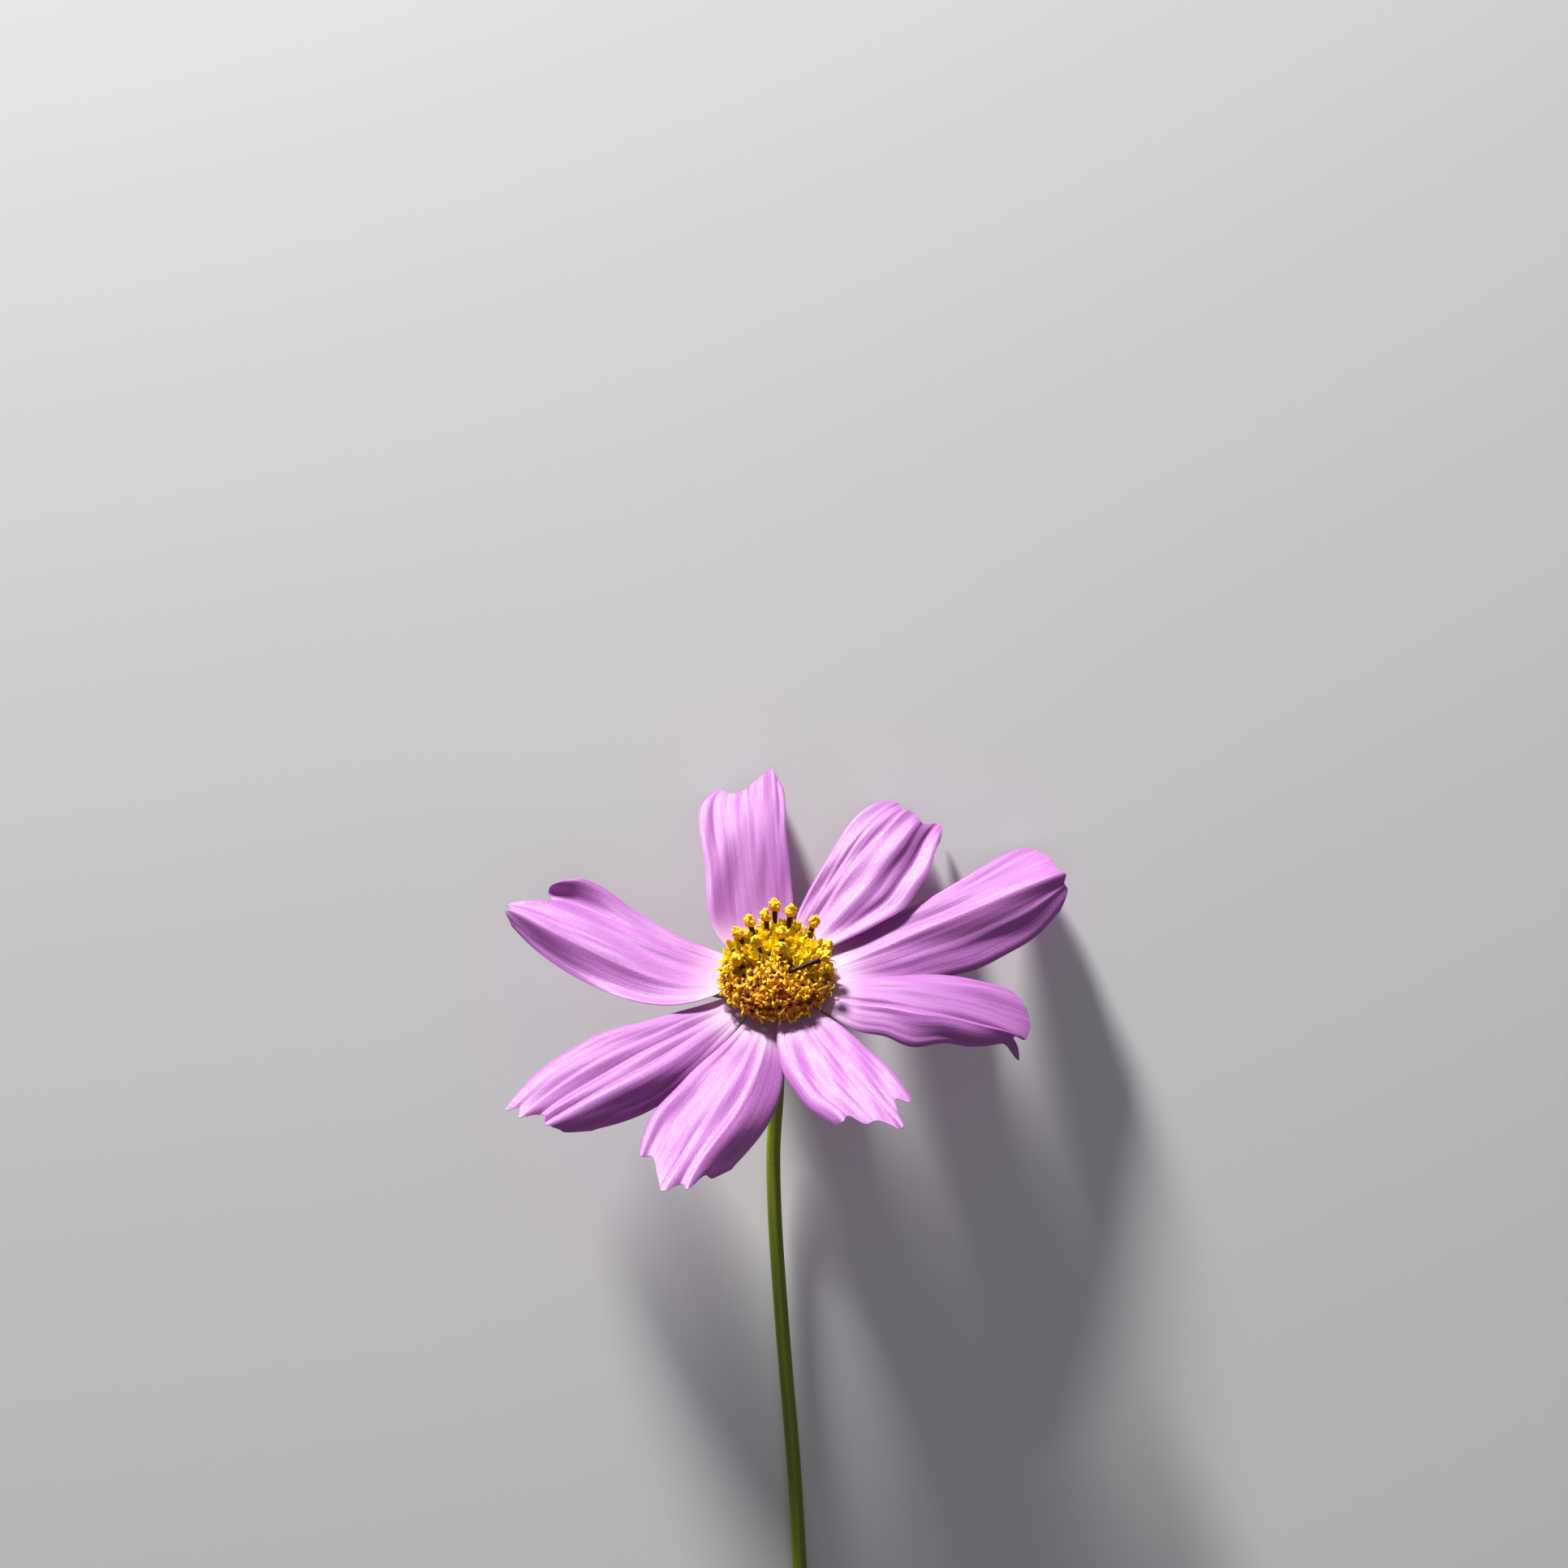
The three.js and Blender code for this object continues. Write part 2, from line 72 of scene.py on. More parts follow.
# Each petal is the blade of the same name in the frame: azimuth and lift of its root, slope of
# its midrib out of the petals' plane and turn within it, half widths, roll and cup of its
# section, long folds, pleats, and the outline of its tip. Creases are fine folds that only
# show close up: place across, depth, width, start and end along the petal. A ruffle is the
# share of the half width by which the right margin swings in and out, and hanging is a tooth
# that droops: place across, width, and how far its point moves across and up.
PETALS = {
    "petal_1": {
        "azimuth": 168, "lift": 0, "length": 28.2, "rise": [6, 8, 8, 2], "sweep": [6, -12, -20, 2],
        "left": [1.4, 11.2, 4, 8.5, 1.5], "right": [1.8, 4.6, 2.6, 11, 2.5], "cup": [20, 0, 0],
        "bends": [[1, 0.3, 0.25, [0, -40, -50]], [1, 0.75, 0.2, [40, 50, 10]],
                  [-1, 0.2, 0.2, [0, -10, -20]], [-1, 0.45, 0.25, [0, 0, 0, 130]]],
        "folds": [[-0.05, -0.25, 0.08]],
        "tip": [[-1, 0.77], [-0.85, 0.84], [-0.6, 0.86], [-0.4, 0.84], [-0.2, 0.97], [0, 1],
                [0.35, 0.98], [0.65, 1], [1, 0.96]],
        "creases": [[-0.5, -0.25, 0.07, 0.2, 0.95], [0.05, -0.2, 0.07, 0.2, 1],
                    [0.25, -0.1, 0.04, 0.1, 1]],
    },
    "petal_2": {
        "azimuth": 104, "lift": 0, "length": 24.7, "rise": [15, 34, 21, -12],
        "sweep": [-4, -8, -12, -11],
        "left": [3.4, 10.3, 0, 12, 2.5], "right": [1.3, 6.5, 2.5, 5, 4], "roll": [0, -10, -25],
        "cup": [30, 25, 0],
        "bends": [[1, 0.6, 0.2, [0, 0, 12]], [-1, 0.6, 0.25, [0, -20, -30]]],
        "folds": [[-0.35, -0.5, 0.16], [0.35, -0.5, 0.16]],
        "tip": [[-1, 0.8], [-0.9, 0.85], [-0.75, 0.91], [-0.4, 0.93], [-0.1, 0.88], [0.15, 0.85],
                [0.5, 0.87], [0.8, 0.9], [1, 0.83]],
        "creases": [[0.72, -0.35, 0.05, 0.45, 1.3], [-0.82, -0.3, 0.05, 0.4, 1.3],
                    [0.05, -0.15, 0.06, 0.2, 1.1]],
    },
    "petal_3": {
        "azimuth": 59, "lift": 0.3, "length": 24, "rise": [12, 20, 15, -9], "sweep": [2, -8, -6],
        "left": [1.2, 3.6, 2.6, 6.6, 3], "right": [1.2, 4.6, 12, 6.5, 5.4], "cup": [20, 0, 0],
        "bends": [[-1, 0.3, 0.2, [0, -40, -60]], [-1, 0.55, 0.2, [0, 45, 65]]],
        "folds": [[0.2, -0.3, 0.08], [-0.1, -0.3, 0.08]],
        "tip": [[-1, 0.94], [-0.9, 1.01], [-0.7, 1.04], [-0.45, 0.96], [-0.15, 0.98], [0.3, 0.96],
                [0.6, 0.98], [0.8, 0.96], [1, 0.93]],
        "creases": [[-0.45, -0.5, 0.08, 0.25, 1.3], [-0.6, 0.3, 0.06, 0.2, 1.3],
                    [0.12, -0.2, 0.05, 0.35, 1.1], [0.5, -0.12, 0.06, 0.2, 1.1]],
    },
    "petal_4": {
        "azimuth": 20, "lift": -0.3, "length": 32.3, "rise": [8, 4, 2], "sweep": [4, 6, 6, 4],
        "left": [1.3, 5.7, 1.3, 5.9, 8], "right": [1.2, 7.2, 6.5, 9.3, 2.7],
        "roll": [0, -8, -14], "cup": [10, 5, 5],
        "bends": [[-1, 0, 0.15, [0, -60, -60]], [-1, 0.5, 0.2, [0, 12, 12]]],
        "folds": [[0.3, -0.3, 0.08]],
        "tip": [[-1, 0.93], [-0.8, 0.975], [-0.4, 0.98], [-0.1, 0.995], [0.15, 0.98], [0.4, 0.99],
                [0.65, 0.965], [0.88, 0.93], [1, 0.87]],
        "creases": [[-0.5, 0.25, 0.08, 0.1, 1.3], [0.2, -0.12, 0.04, 0.2, 1],
                    [0.78, -0.25, 0.1, 0.75, 1.3]],
    },
    "petal_5": {
        "azimuth": 342, "lift": 0.3, "length": 26.3, "rise": [8, 4, -10, -30],
        "sweep": [6, 8, 8, 4],
        "left": [1.2, 2.5, 6.5, 5.6, 9], "right": [1.5, 6.6, 6.4, 3.4, 0.8], "cup": [10, 0, 0],
        "bends": [[-1, 0.35, 0.15, [0, -30, -60]], [-1, 0.1, 0.15, [0, -10, 0]],
                  [1, 0.5, 0.3, [0, -10, -40]]],
        "folds": [[-0.28, 0.3, 0.07], [-0.15, -0.3, 0.07]],
        "tip": [[-1, 0.8], [-0.85, 0.87], [-0.65, 0.97], [-0.45, 0.9], [-0.1, 0.95], [0.2, 0.96],
                [0.45, 0.93], [0.7, 0.88], [1, 0.83]],
        "creases": [[-0.16, -0.35, 0.05, 0, 1.2], [-0.3, 0.2, 0.05, 0, 1.2],
                    [0.35, -0.15, 0.06, 0.6, 1.3], [0.6, -0.15, 0.06, 0.65, 1.3]],
        "ruffle": 0.07, "hanging": [-0.64, 0.1, -1.6, -1.2],
    },
    "petal_6": {
        "azimuth": 295, "lift": 0.45, "length": 23.8, "rise": [4, 14, 14], "sweep": [0, 2, 6],
        "left": [1.5, 4.6, 6.2, 5, 4.2], "right": [1.6, 5.6, 8.4, 3.2, 5.4], "cup": [0, 0, 0],
        "bends": [[-1, 0.6, 0.3, [0, -40, -50]]],
        "folds": [[0.1, -0.3, 0.1], [-0.4, -0.3, 0.1]],
        "tip": [[-1, 0.76], [-0.75, 0.81], [-0.55, 0.79], [-0.35, 0.88], [-0.1, 0.9], [0.1, 0.96],
                [0.3, 1.02], [0.45, 0.92], [0.6, 0.83], [0.85, 0.88], [1, 0.86]],
        "creases": [[0.2, -0.35, 0.06, 0.5, 1.3], [0.45, -0.3, 0.05, 0.5, 1.3],
                    [-0.15, -0.2, 0.05, 0.4, 1.2], [-0.6, -0.15, 0.05, 0.3, 1.2]],
    },
    "petal_7": {
        "azimuth": 250, "lift": -0.35, "length": 28.8, "rise": [4, 6, 4], "sweep": [0, -4, -4],
        "left": [1.6, 5.4, 12, 3.1, 6.6], "right": [1.1, 1.4, 8.3, 6, 4.3], "cup": [0, 0, 0],
        "bends": [[1, 0.4, 0.25, [0, -50, -60]], [-1, 0.7, 0.25, [0, -20, -40]]],
        "folds": [[-0.5, -0.4, 0.12], [0.3, -0.2, 0.06]],
        "tip": [[-1, 0.8], [-0.85, 0.88], [-0.6, 0.87], [-0.2, 0.97], [0.05, 1.02], [0.3, 0.95],
                [0.45, 0.97], [0.6, 0.87], [0.8, 0.84], [1, 0.73]],
        "creases": [[-0.7, -0.55, 0.09, 0.55, 1.3], [0, -0.25, 0.05, 0.6, 1.3],
                    [0.25, -0.25, 0.05, 0.55, 1.3], [0.42, 0.2, 0.05, 0.2, 1.2]],
    },
    "petal_8": {
        "azimuth": 216, "lift": -0.55, "length": 31.5, "rise": [4, 4, 0], "sweep": [-4, 4, 6],
        "left": [1, 5, 10.4, 5, 2.4], "right": [1.6, 1.6, 8, 6.5, 3.8], "cup": [5, 0, 0],
        "bends": [[1, 0.35, 0.2, [0, -60, -60]], [-1, 0.6, 0.3, [0, -10, -10]]],
        "folds": [[-0.1, -0.5, 0.1], [0.2, -0.3, 0.06]],
        "tip": [[-1, 0.91], [-0.85, 0.98], [-0.6, 0.94], [-0.35, 0.97], [-0.1, 0.9],
                [0.35, 0.92], [0.7, 0.885], [0.88, 0.855], [1, 0.77]],
        "creases": [[-0.1, -0.3, 0.06, 0.05, 1.3], [0.22, -0.35, 0.05, 0.1, 1.3],
                    [-0.4, -0.12, 0.05, 0.2, 1.2], [0.05, 0.2, 0.05, 0.1, 1.2]],
    },
}
PETAL_GRID = (88, 96)
# Share of a blade's thickness that its margin keeps.
PETAL_EDGE = 0.35
# The thin blades are this much wider at their roots than the thick ones of the frame.
CLAW_EXTRA = 0.42
CLAW_END = 0.45
# Pleats and creases are softer on the thin blades than on the thick ones.
PLEAT_START = 0.3
PLEAT_DEPTH = 0.5
PLEAT_SPREAD = 1.6
CREASE_FADE = 0.3
CREASE_DEPTH = 0.42
# The margins of a petal turn under, from this share of the half width, and so does its tip.
MARGIN_ROLL = math.radians(30)
MARGIN_START = 0.86
MARGIN_SOFT = 0.14
TIP_DROP = 0.15
TIP_START = 0.93
HANG_START = 0.85
# Values along a petal are read up to this share of its length.
PAST_TIP = 1.1

# Where the broad waves and the fine ribs are in full along a petal, and the waves' height.
WAVE_FADE = 0.4
RIB_FADE = 0.25
WAVE_HEIGHT = 0.16
# Share of its half width by which a petal's margin swings in and out.
RUFFLE = 0.015

# The disc's dome, measured from the head's centre along its axis: heights and radii of its
# foot, and its round top.
CORE_FOOT = [(-0.5, 4.3), (0.55, 4.3), (1.2, 5.3)]
CORE_RIM = 0.9
CORE_RIM_RADIUS = 5.3
CORE_TOP = 3.4
CORE_RINGS = 8
DOME_RADIUS = 5.8
DISC_SEED = 23
# Turn from one place to the next on the spirals that fill the disc evenly.
SPIRAL = math.pi * (3 - math.sqrt(5))

# The tall open florets, as they stand on the far half of the disc: turn round the head's
# axis, distance from the axis and height of the knob's middle, and what they carry there.
TALL_FLORETS = [
    (92, 7.2, 6.0, "knob"), (75, 6.4, 6.1, "knob"), (103, 5.8, 6.0, "knob"),
    (123, 5.9, 5.8, "knob"), (144, 5.7, 5.5, "knob"), (48, 6.7, 5.6, "knob"),
    (14, 6.2, 5.3, "knob"), (-4, 5.97, 5.4, "long"), (152, 2.7, 6.4, "knob"),
    (77, 2.6, 6.5, "knob"), (37, 0.7, 6.2, "knob"), (189, 4.75, 5.4, "knob"),
    (188, 6.0, 3.8, "bud"), (157, 5.9, 4.4, "bare"), (65, 6.1, 4.9, "bud"),
    (205, 3.6, 5.2, "bare"), (-22, 3.6, 4.9, "bare"),
    (112, 4.3, 5.0, "bud"), (35, 4.4, 4.8, "bud"),
]
# They lean more the further out they reach. The long one lies on the others.
TALL_LEAN = math.radians(27)
TALL_REACH = 5.8
TALL_FOOT = 1.5
# Tone at the feet of the upright florets, from painted shade at 0 to full yellow at 1.
UPRIGHT_SHADE_TONE = 0.75
LONG_LEAN = math.radians(80)
LONG_TURN = math.radians(24)
LONG_STRETCH = 1.4
KNOB_SEAT = 0.15
KNOB_LEAN = math.radians(50)
KNOB_HALF = 0.8

# The short florets and the scales stand on spirals, up to these distances from the axis. The
# florets are curled on the near side, which ends at this share of the distance, and florets and
# scales there are painted deeper: painted shade, with the orange of older florets. The florets
# round the rim hang over the petals' roots.
FLORET_COUNT = 96
FLORET_REACH = 5.3
FLORET_CLEARANCE = 0.5
SCALE_COUNT = 130
SCALE_REACH = 5.2
NEAR_SHARE = -0.12
LEAN_POWER = 1.4
RIM_TURNS = range(0, 360, 9)
RIM_REACH = 5.05
RIM_LEAN = 0.35
# Some curled florets show the dark end of an anther tube.
DOT_CHANCE = 0.35
DOT_PLACE = Matrix.Translation((0, 0, -0.75)) @ Matrix.Diagonal((0.6, 0.6, 1, 1))

# Blades of the florets, in mm from the foot of a floret: short curled lobes, lobes that stand
# up, the arms of a stigma and the scales between the florets. A grid counts the faces across
# and along, and the skin is the thickness.
CURLED_LOBE = {
    "lift": 1.05, "root": 0.27, "length": 0.85, "rise": [74, 40, -85],
    "half": [0.17, 0.3, 0.34, 0.1], "cup": [25, 25, 25], "keel": 0.02, "grid": (3, 6),
}
UPRIGHT_LOBE = {
    "lift": 0.9, "root": 0.28, "length": 1.35, "rise": [88, 86, 50],
    "half": [0.18, 0.4, 0.44, 0.12], "cup": [35, 30, 20], "keel": 0.03, "grid": (3, 6),
}
STIGMA_ARM = {
    "lift": 0.9, "root": 0.05, "length": 1.45, "rise": [88, 88, 75, -75],
    "half": [0.07, 0.07, 0.1, 0.14], "cup": [0], "keel": 0, "grid": (2, 8), "skin": 0.15,
}
SCALE = {
    "lift": -0.6, "root": 0, "length": 2.75, "rise": [88, 86, 74],
    "half": [0.22, 0.34, 0.75, 0.2], "cup": [35, 25, 20], "keel": 0.04, "grid": (2, 5),
    "skin": 0.09,
}
LOBE_EDGE = 0.5
STEEPEST = 88
# How much one lobe may differ from the next: bend and turn in degrees, and length.
LOBE_BEND = 14
LOBE_TURN = 9
LOBE_LENGTHS = (0.85, 1.15)

# Rings of a floret's tube and of an anther tube: height, radius, and radius of every second
# point. The radii of the foot are in mm, and the others are shares of the mouth's or tube's.
TUBE_SIDES = 10
FLORET_FOOT = [(-1.6, 0.17, 0.17), (0.2, 0.22, 0.21)]
FLORET_MOUTH = [(0.9, 0.88, 0.82), (1.18, 1, 0.92), (1.2, 0.8, 0.75), (0.95, 0.5, 0.5)]
ANTHER_TOP = 2.15
ANTHER_TUBE = [
    (-1.0, 0.72, 0.66), (0.2, 0.8, 0.72), (1.2, 0.95, 0.86), (2.0, 1.15, 1),
    (ANTHER_TOP, 0.8, 0.7),
]

# Lumps of a pollen knob, in shares of its radius: for each ring of lumps its count, reach,
# height, size and lean.
KNOB_RINGS = [
    (6, 0.4, 0.3, 0.3, 70), (7, 0.52, 0.65, 0.3, 60), (6, 0.45, 1.0, 0.29, 45),
    (4, 0.2, 1.35, 0.26, 20), (1, 0, 1.75, 0.2, 0),
]
KNOB_VOXEL = 0.12
# Waves that roughen a knob: their height, and radians in a mm for each of x, y and z.
KNOB_GRAIN = 0.07
KNOB_WAVES = np.array([[31.0, 17, 23], [-19.0, 29, 13]])
KNOB_FINE_WAVE = 26

# The ring of inner bracts, and the calyx with its outer bracts.
BRACT_INNER = {
    "lift": -1.45, "root": 4.6, "length": 7.6, "rise": [-6, -10, 4],
    "half": [1.5, 2.3, 1.9, 0.3], "cup": [0, 8, 20], "grid": (16, 24),
}
BRACT_OUTER = {
    "lift": -2.9, "root": 3.0, "length": 7.6, "rise": [-10, -14, 6],
    "half": [0.9, 1.2, 0.7, 0.3], "cup": [10, 14, 14], "grid": (10, 20),
}
OUTER_TURNS = [(index + 0.7) * 45 for index in range(8)]
BRACT_EDGE = 0.4
KEEL = 0.12
KEEL_WIDTH = 0.15
KEEL_FADE = 0.2
CALYX_SIDES = 48
COLLAR = [(-1.75, 3.3), (-1.75, 5.4), (-1.15, 5.4), (-1.15, 3.3), (-1.75, 3.3)]
CALYX = [
    (-6.2, 1.15), (-5, 1.5), (-4.1, 2.7), (-3.2, 4.2), (-2.6, 4.9), (-2.1, 4.9), (-2.1, 2.95),
    (-0.85, 2.95),
]

# The stem: depth and width of its groove, its fine ribs, and the knots of its centre line,
# measured from the head's centre.
STEM_RADIUS = 0.9
STEM_SIDES = 36
STEM_STEPS = 16
STEM_GROOVE = 0.25
STEM_GROOVE_WIDTH = 0.3
STEM_RIBS = 7
STEM_RIB = 0.02
STEM_TOP = -6.55
STEM_NECK = 2.4
STEM_ROUTE = [
    (0, -12.2, -10), (-0.45, -20, -10.9), (-0.3, -27.5, -11.2), (0.3, -37, -11.45),
    (1.05, -46.5, -11.65), (1.9, -56.5, -11.85), (2.6, -68, -12.05), (3.3, -82, -12.25),
    (3.7, -97, -12.55),
]


def colour(red, green, blue):
    """Linear colour from the red, green and blue of a screen, 0 to 255."""
    channels = [value / 255 for value in (red, green, blue)]
    return tuple(c / 12.92 if c <= 0.04045 else ((c + 0.055) / 1.055) ** 2.4 for c in channels)


def colour_property(name, description, rgb):
    return bpy.props.FloatVectorProperty(
        name=name, description=description, subtype="COLOR", size=3, min=0.0, max=1.0,
        default=colour(*rgb))


def length_property(name, description, default):
    return bpy.props.FloatProperty(
        name=name, description=description, default=default * MM, min=0.0, precision=5,
        subtype="DISTANCE", unit="LENGTH")


class CosmosSizes(bpy.types.PropertyGroup):
    """Sizes of the flower that a user would change."""

    petal_thickness: length_property(
        "Petal thickness", "Thickness of a petal at its midrib", 0.3)
    petal_rib: length_property(
        "Petal rib", "Height of the fine ribs that run along a petal", 0.035)
    floret_mouth: length_property(
        "Floret mouth", "Radius of an open floret's tube at its lobes", 0.36)
    floret_skin: length_property("Floret skin", "Thickness of a floret's lobes", 0.09)
    anther_radius: length_property("Anther radius", "Radius of a dark anther tube", 0.34)
    knob_radius: length_property("Knob radius", "Radius of a pollen knob", 0.84)
    bract_thickness: length_property("Bract thickness", "Thickness of a bract", 0.35)
    stem_radius: length_property("Stem radius", "Radius of the stem", STEM_RADIUS)


class CosmosColours(bpy.types.PropertyGroup):
    """Colours of the flower that a user would change."""

    petal_light: colour_property("Petal", "Main colour of a petal's face", (196, 114, 206))
    petal_deep: colour_property("Petal veins", "Colour between a petal's ribs", (146, 50, 164))
    # The pale throat colour is also the colour of the painted glints on the petals.
    petal_throat_and_glint: colour_property(
        "Petal throat", "Colour of a petal next to the disc", (240, 218, 236))
    petal_through: colour_property(
        "Petal glow", "Colour of light that passes a petal", (200, 40, 188))
    floret_yellow: colour_property("Floret", "Colour of the tips of florets", (255, 230, 38))
    # Painted shade: the deep colour low between the florets, at the knobs' feet, on the core and
    # on the disc's near half, where its older florets are also more orange.
    floret_shade: colour_property(
        "Floret depths", "Colour low between the florets", (214, 108, 4))
    pollen_yellow: colour_property("Pollen", "Colour of the pollen knobs", (255, 206, 20))
    anther_brown: colour_property("Anther", "Colour of the anther tubes", (44, 14, 8))
    stem_green: colour_property("Stem", "Colour of the stem and outer bracts", (122, 138, 18))
    bract_green: colour_property("Bract", "Colour of the inner bracts", (164, 168, 112))


def sizes():
    return bpy.context.scene.cosmos_sizes


def colours():
    return bpy.context.scene.cosmos_colours


# Values that change along or across a blade.


def pulled(values, s):
    """Value at s, 0 to 1, of the smooth curve from the first to the last of some values, which
    those between pull towards them."""
    level = [np.full_like(s, value) for value in values]
    while len(level) > 1:
        level = [low + (high - low) * s for low, high in zip(level, level[1:])]
    return level[0]


def smooth(x):
    s = np.clip(x, 0, 1)
    return s * s * (3 - 2 * s)


def degrees_at(values, s):
    return np.radians(pulled(values, s))


def bell(x, centre, width):
    return np.exp(-(((x - centre) / width) ** 2))


def sloped(start, leave, end, arrive, s):
    """Value at s, 0 to 1, on the curve from start to end with the given slopes there."""
    return (start * (2 * s ** 3 - 3 * s ** 2 + 1) + leave * (s ** 3 - 2 * s ** 2 + s)
            + end * (3 * s ** 2 - 2 * s ** 3) + arrive * (s ** 3 - s ** 2))


def midrib(shape):
    """Points, side directions and face normals along a blade's midrib, from root to tip."""
    s = np.linspace(0, 1, MIDRIB_STEPS + 1)
    azimuth = math.radians(shape["azimuth"])
    outward = np.array([math.cos(azimuth), math.sin(azimuth), 0])
    sideways = np.array([-math.sin(azimuth), math.cos(azimuth), 0])
    axis = np.array([0.0, 0, 1])
    rise = degrees_at(shape["rise"], s)[:, None]
    turn = degrees_at(shape.get("sweep", [0]), s)[:, None]
    heading = np.cos(turn) * outward + np.sin(turn) * sideways
    forward = np.cos(rise) * heading + np.sin(rise) * axis
    root = outward * shape.get("root", ROOT_RADIUS) + axis * shape["lift"]
    travelled = np.vstack([np.zeros(3), np.cumsum(forward[:-1], 0)])
    points = root + travelled * shape["length"] / MIDRIB_STEPS
    side = np.cross(axis, forward)
    side /= np.linalg.norm(side, axis=1)[:, None]
    return points, side, np.cross(forward, side)


def along_midrib(rows, s):
    """Rows of a midrib at s, carried on straight past its tip."""
    at = np.maximum(s, 0) * MIDRIB_STEPS
    low = np.minimum(at.astype(int), MIDRIB_STEPS - 1)
    mix = (at - low)[:, None]
    return rows[low] * (1 - mix) + rows[low + 1] * mix


def beside_midrib(rows, s, across, upward):
    """Points beside a midrib at s and over it, from its points, side directions and normals."""
    points, side, normal = (along_midrib(row, s) for row in rows)
    return points + side * across[:, None] + normal * upward[:, None]


def tip_reach(tip, q):
    """Reach of a petal's tip at q, from -1 at the right edge to 1 at the left edge."""
    places, reaches = np.array(tip).T
    slopes = np.gradient(reaches, places)
    low = np.clip(np.searchsorted(places, q, side="right") - 1, 0, len(places) - 2)
    width = places[low + 1] - places[low]
    return sloped(
        reaches[low], slopes[low] * width, reaches[low + 1], slopes[low + 1] * width,
        (q - places[low]) / width)


def wave(shape, s, q, along=0, across=0, share=1, shift=0):
    """Sine wave over a petal: radians along it and across it, and share of its own phase."""
    return np.sin(across * q + along * s + share * shape["azimuth"] + shift)


def broad_waves(shape, s, q):
    """Low waves, -1 to 1, that run askew over a petal and fade out at its root."""
    waves = (wave(shape, s, q, along=4.5, across=6.5)
             * wave(shape, s, q, along=8.5, across=2.5, share=1.7))
    return waves * smooth(s / WAVE_FADE)


def fine_ribs(shape, s, q):
    """Uneven ribs along a petal, -1 to 1, that fade out at its root."""
    wander = (0.35 * wave(shape, s, q, along=3.1)
              + 0.2 * wave(shape, s, q, across=7.3, share=2.3))
    wide = wave(shape, s, q, across=21, shift=3 * wander)
    narrow = wave(shape, s, q, across=37, share=1.7, shift=4 * wander)
    patchy = 0.6 + 0.4 * wave(shape, s, q, along=4, across=5)
    return (wide + 0.6 * narrow) / 1.6 * smooth(s / RIB_FADE) * patchy


def half_width(shape, s, q):
    """Half width of a petal on the side of q, with a wider root and its ruffled margin."""
    along = np.clip(s, 0, PAST_TIP)
    half = np.where(q > 0, pulled(shape["left"], along), pulled(shape["right"], along))
    half = half + CLAW_EXTRA * (1 - smooth(s / CLAW_END))
    swing = wave(shape, s, q, along=22, shift=-5) * smooth(s / WAVE_FADE)
    return half * (1 + shape.get("ruffle", RUFFLE) * swing * (q < 0))


def section(shape, s, q):
    """Distance across, height and slope of a petal's rolled and bent section at q."""
    along = np.clip(s, 0, PAST_TIP)
    half = half_width(shape, s, q)
    roll = degrees_at(shape.get("roll", [0]), along)
    cup = degrees_at(shape["cup"], along)
    bends = [
        (edge, start, soft, degrees_at(turn, along))
        for edge, start, soft, turn in shape["bends"]]
    stride = q / SECTION_STEPS
    x = np.zeros_like(q)
    z = np.zeros_like(q)
    for step in range(SECTION_STEPS):
        place = (step + 0.5) * stride
        slope = roll + cup * place
        for edge, start, soft, turn in bends:
            slope = slope + edge * turn * smooth((edge * place - start) / soft)
        margin = smooth((np.abs(place) - MARGIN_START) / MARGIN_SOFT)
        slope = slope - np.sign(q) * MARGIN_ROLL * margin
        x += np.cos(slope) * half * stride
        z += np.sin(slope) * half * stride
    return x, z, slope


def relief(shape, s, q, rib):
    """Height of a petal's pleats, ribs, waves and creases over its section."""
    height = sum(
        PLEAT_DEPTH * depth * bell(q, place, width * PLEAT_SPREAD)
        for place, depth, width in shape["folds"])
    height = height * smooth(np.clip(s, 0, PAST_TIP) / PLEAT_START)
    height = height + fine_ribs(shape, s, q) * rib
    height = height + WAVE_HEIGHT * broad_waves(shape, s, q)
    for place, depth, width, start, end in shape["creases"]:
        span = smooth((s - start) / CREASE_FADE) * smooth((end - s) / CREASE_FADE)
        height = height + CREASE_DEPTH * depth * bell(q, place, width) * span
    return height


def petal_points(shape, t, q, rib):
    """Points of a petal's middle surface, t from root to tip and q from right to left edge."""
    s = t - (1 - tip_reach(shape["tip"], q)) * t * t
    x, z, slope = section(shape, s, q)
    height = relief(shape, s, q, rib)
    place, width, moved, raised = shape.get("hanging", (0, 1, 0, 0))
    tooth = bell(q, place, width) * smooth((t - HANG_START) / (1 - HANG_START))
    under = TIP_DROP * np.clip((t - TIP_START) / (1 - TIP_START), 0, 1) ** 2
    across = x - np.sin(slope) * height + moved * tooth
    upward = z + np.cos(slope) * height + raised * tooth - under
    return beside_midrib(midrib(shape), s, across, upward)


def bract_points(shape, azimuth, t, q):
    """Points of the middle surface of a bract, a scale or a lobe of a floret."""
    half = pulled(shape["half"], t)
    lift = q * q * half * np.sin(degrees_at(shape["cup"], t))
    keel = shape.get("keel", KEEL) * bell(q, 0, KEEL_WIDTH) * smooth(t / KEEL_FADE)
    return beside_midrib(midrib({**shape, "azimuth": azimuth}), t, q * half, lift - keel)


# Meshes.


def deselect_all():
    bpy.ops.object.select_all(action="DESELECT")


def make_active(piece):
    deselect_all()
    piece.select_set(True)
    bpy.context.view_layer.objects.active = piece


def added(name):
    """The object that the last primitive made, under its name."""
    piece = bpy.context.active_object
    piece.name = name
    piece.data.name = name
    return piece


def coordinates(piece):
    values = np.empty(len(piece.data.vertices) * 3)
    piece.data.vertices.foreach_get("co", values)
    return values.reshape(-1, 3)


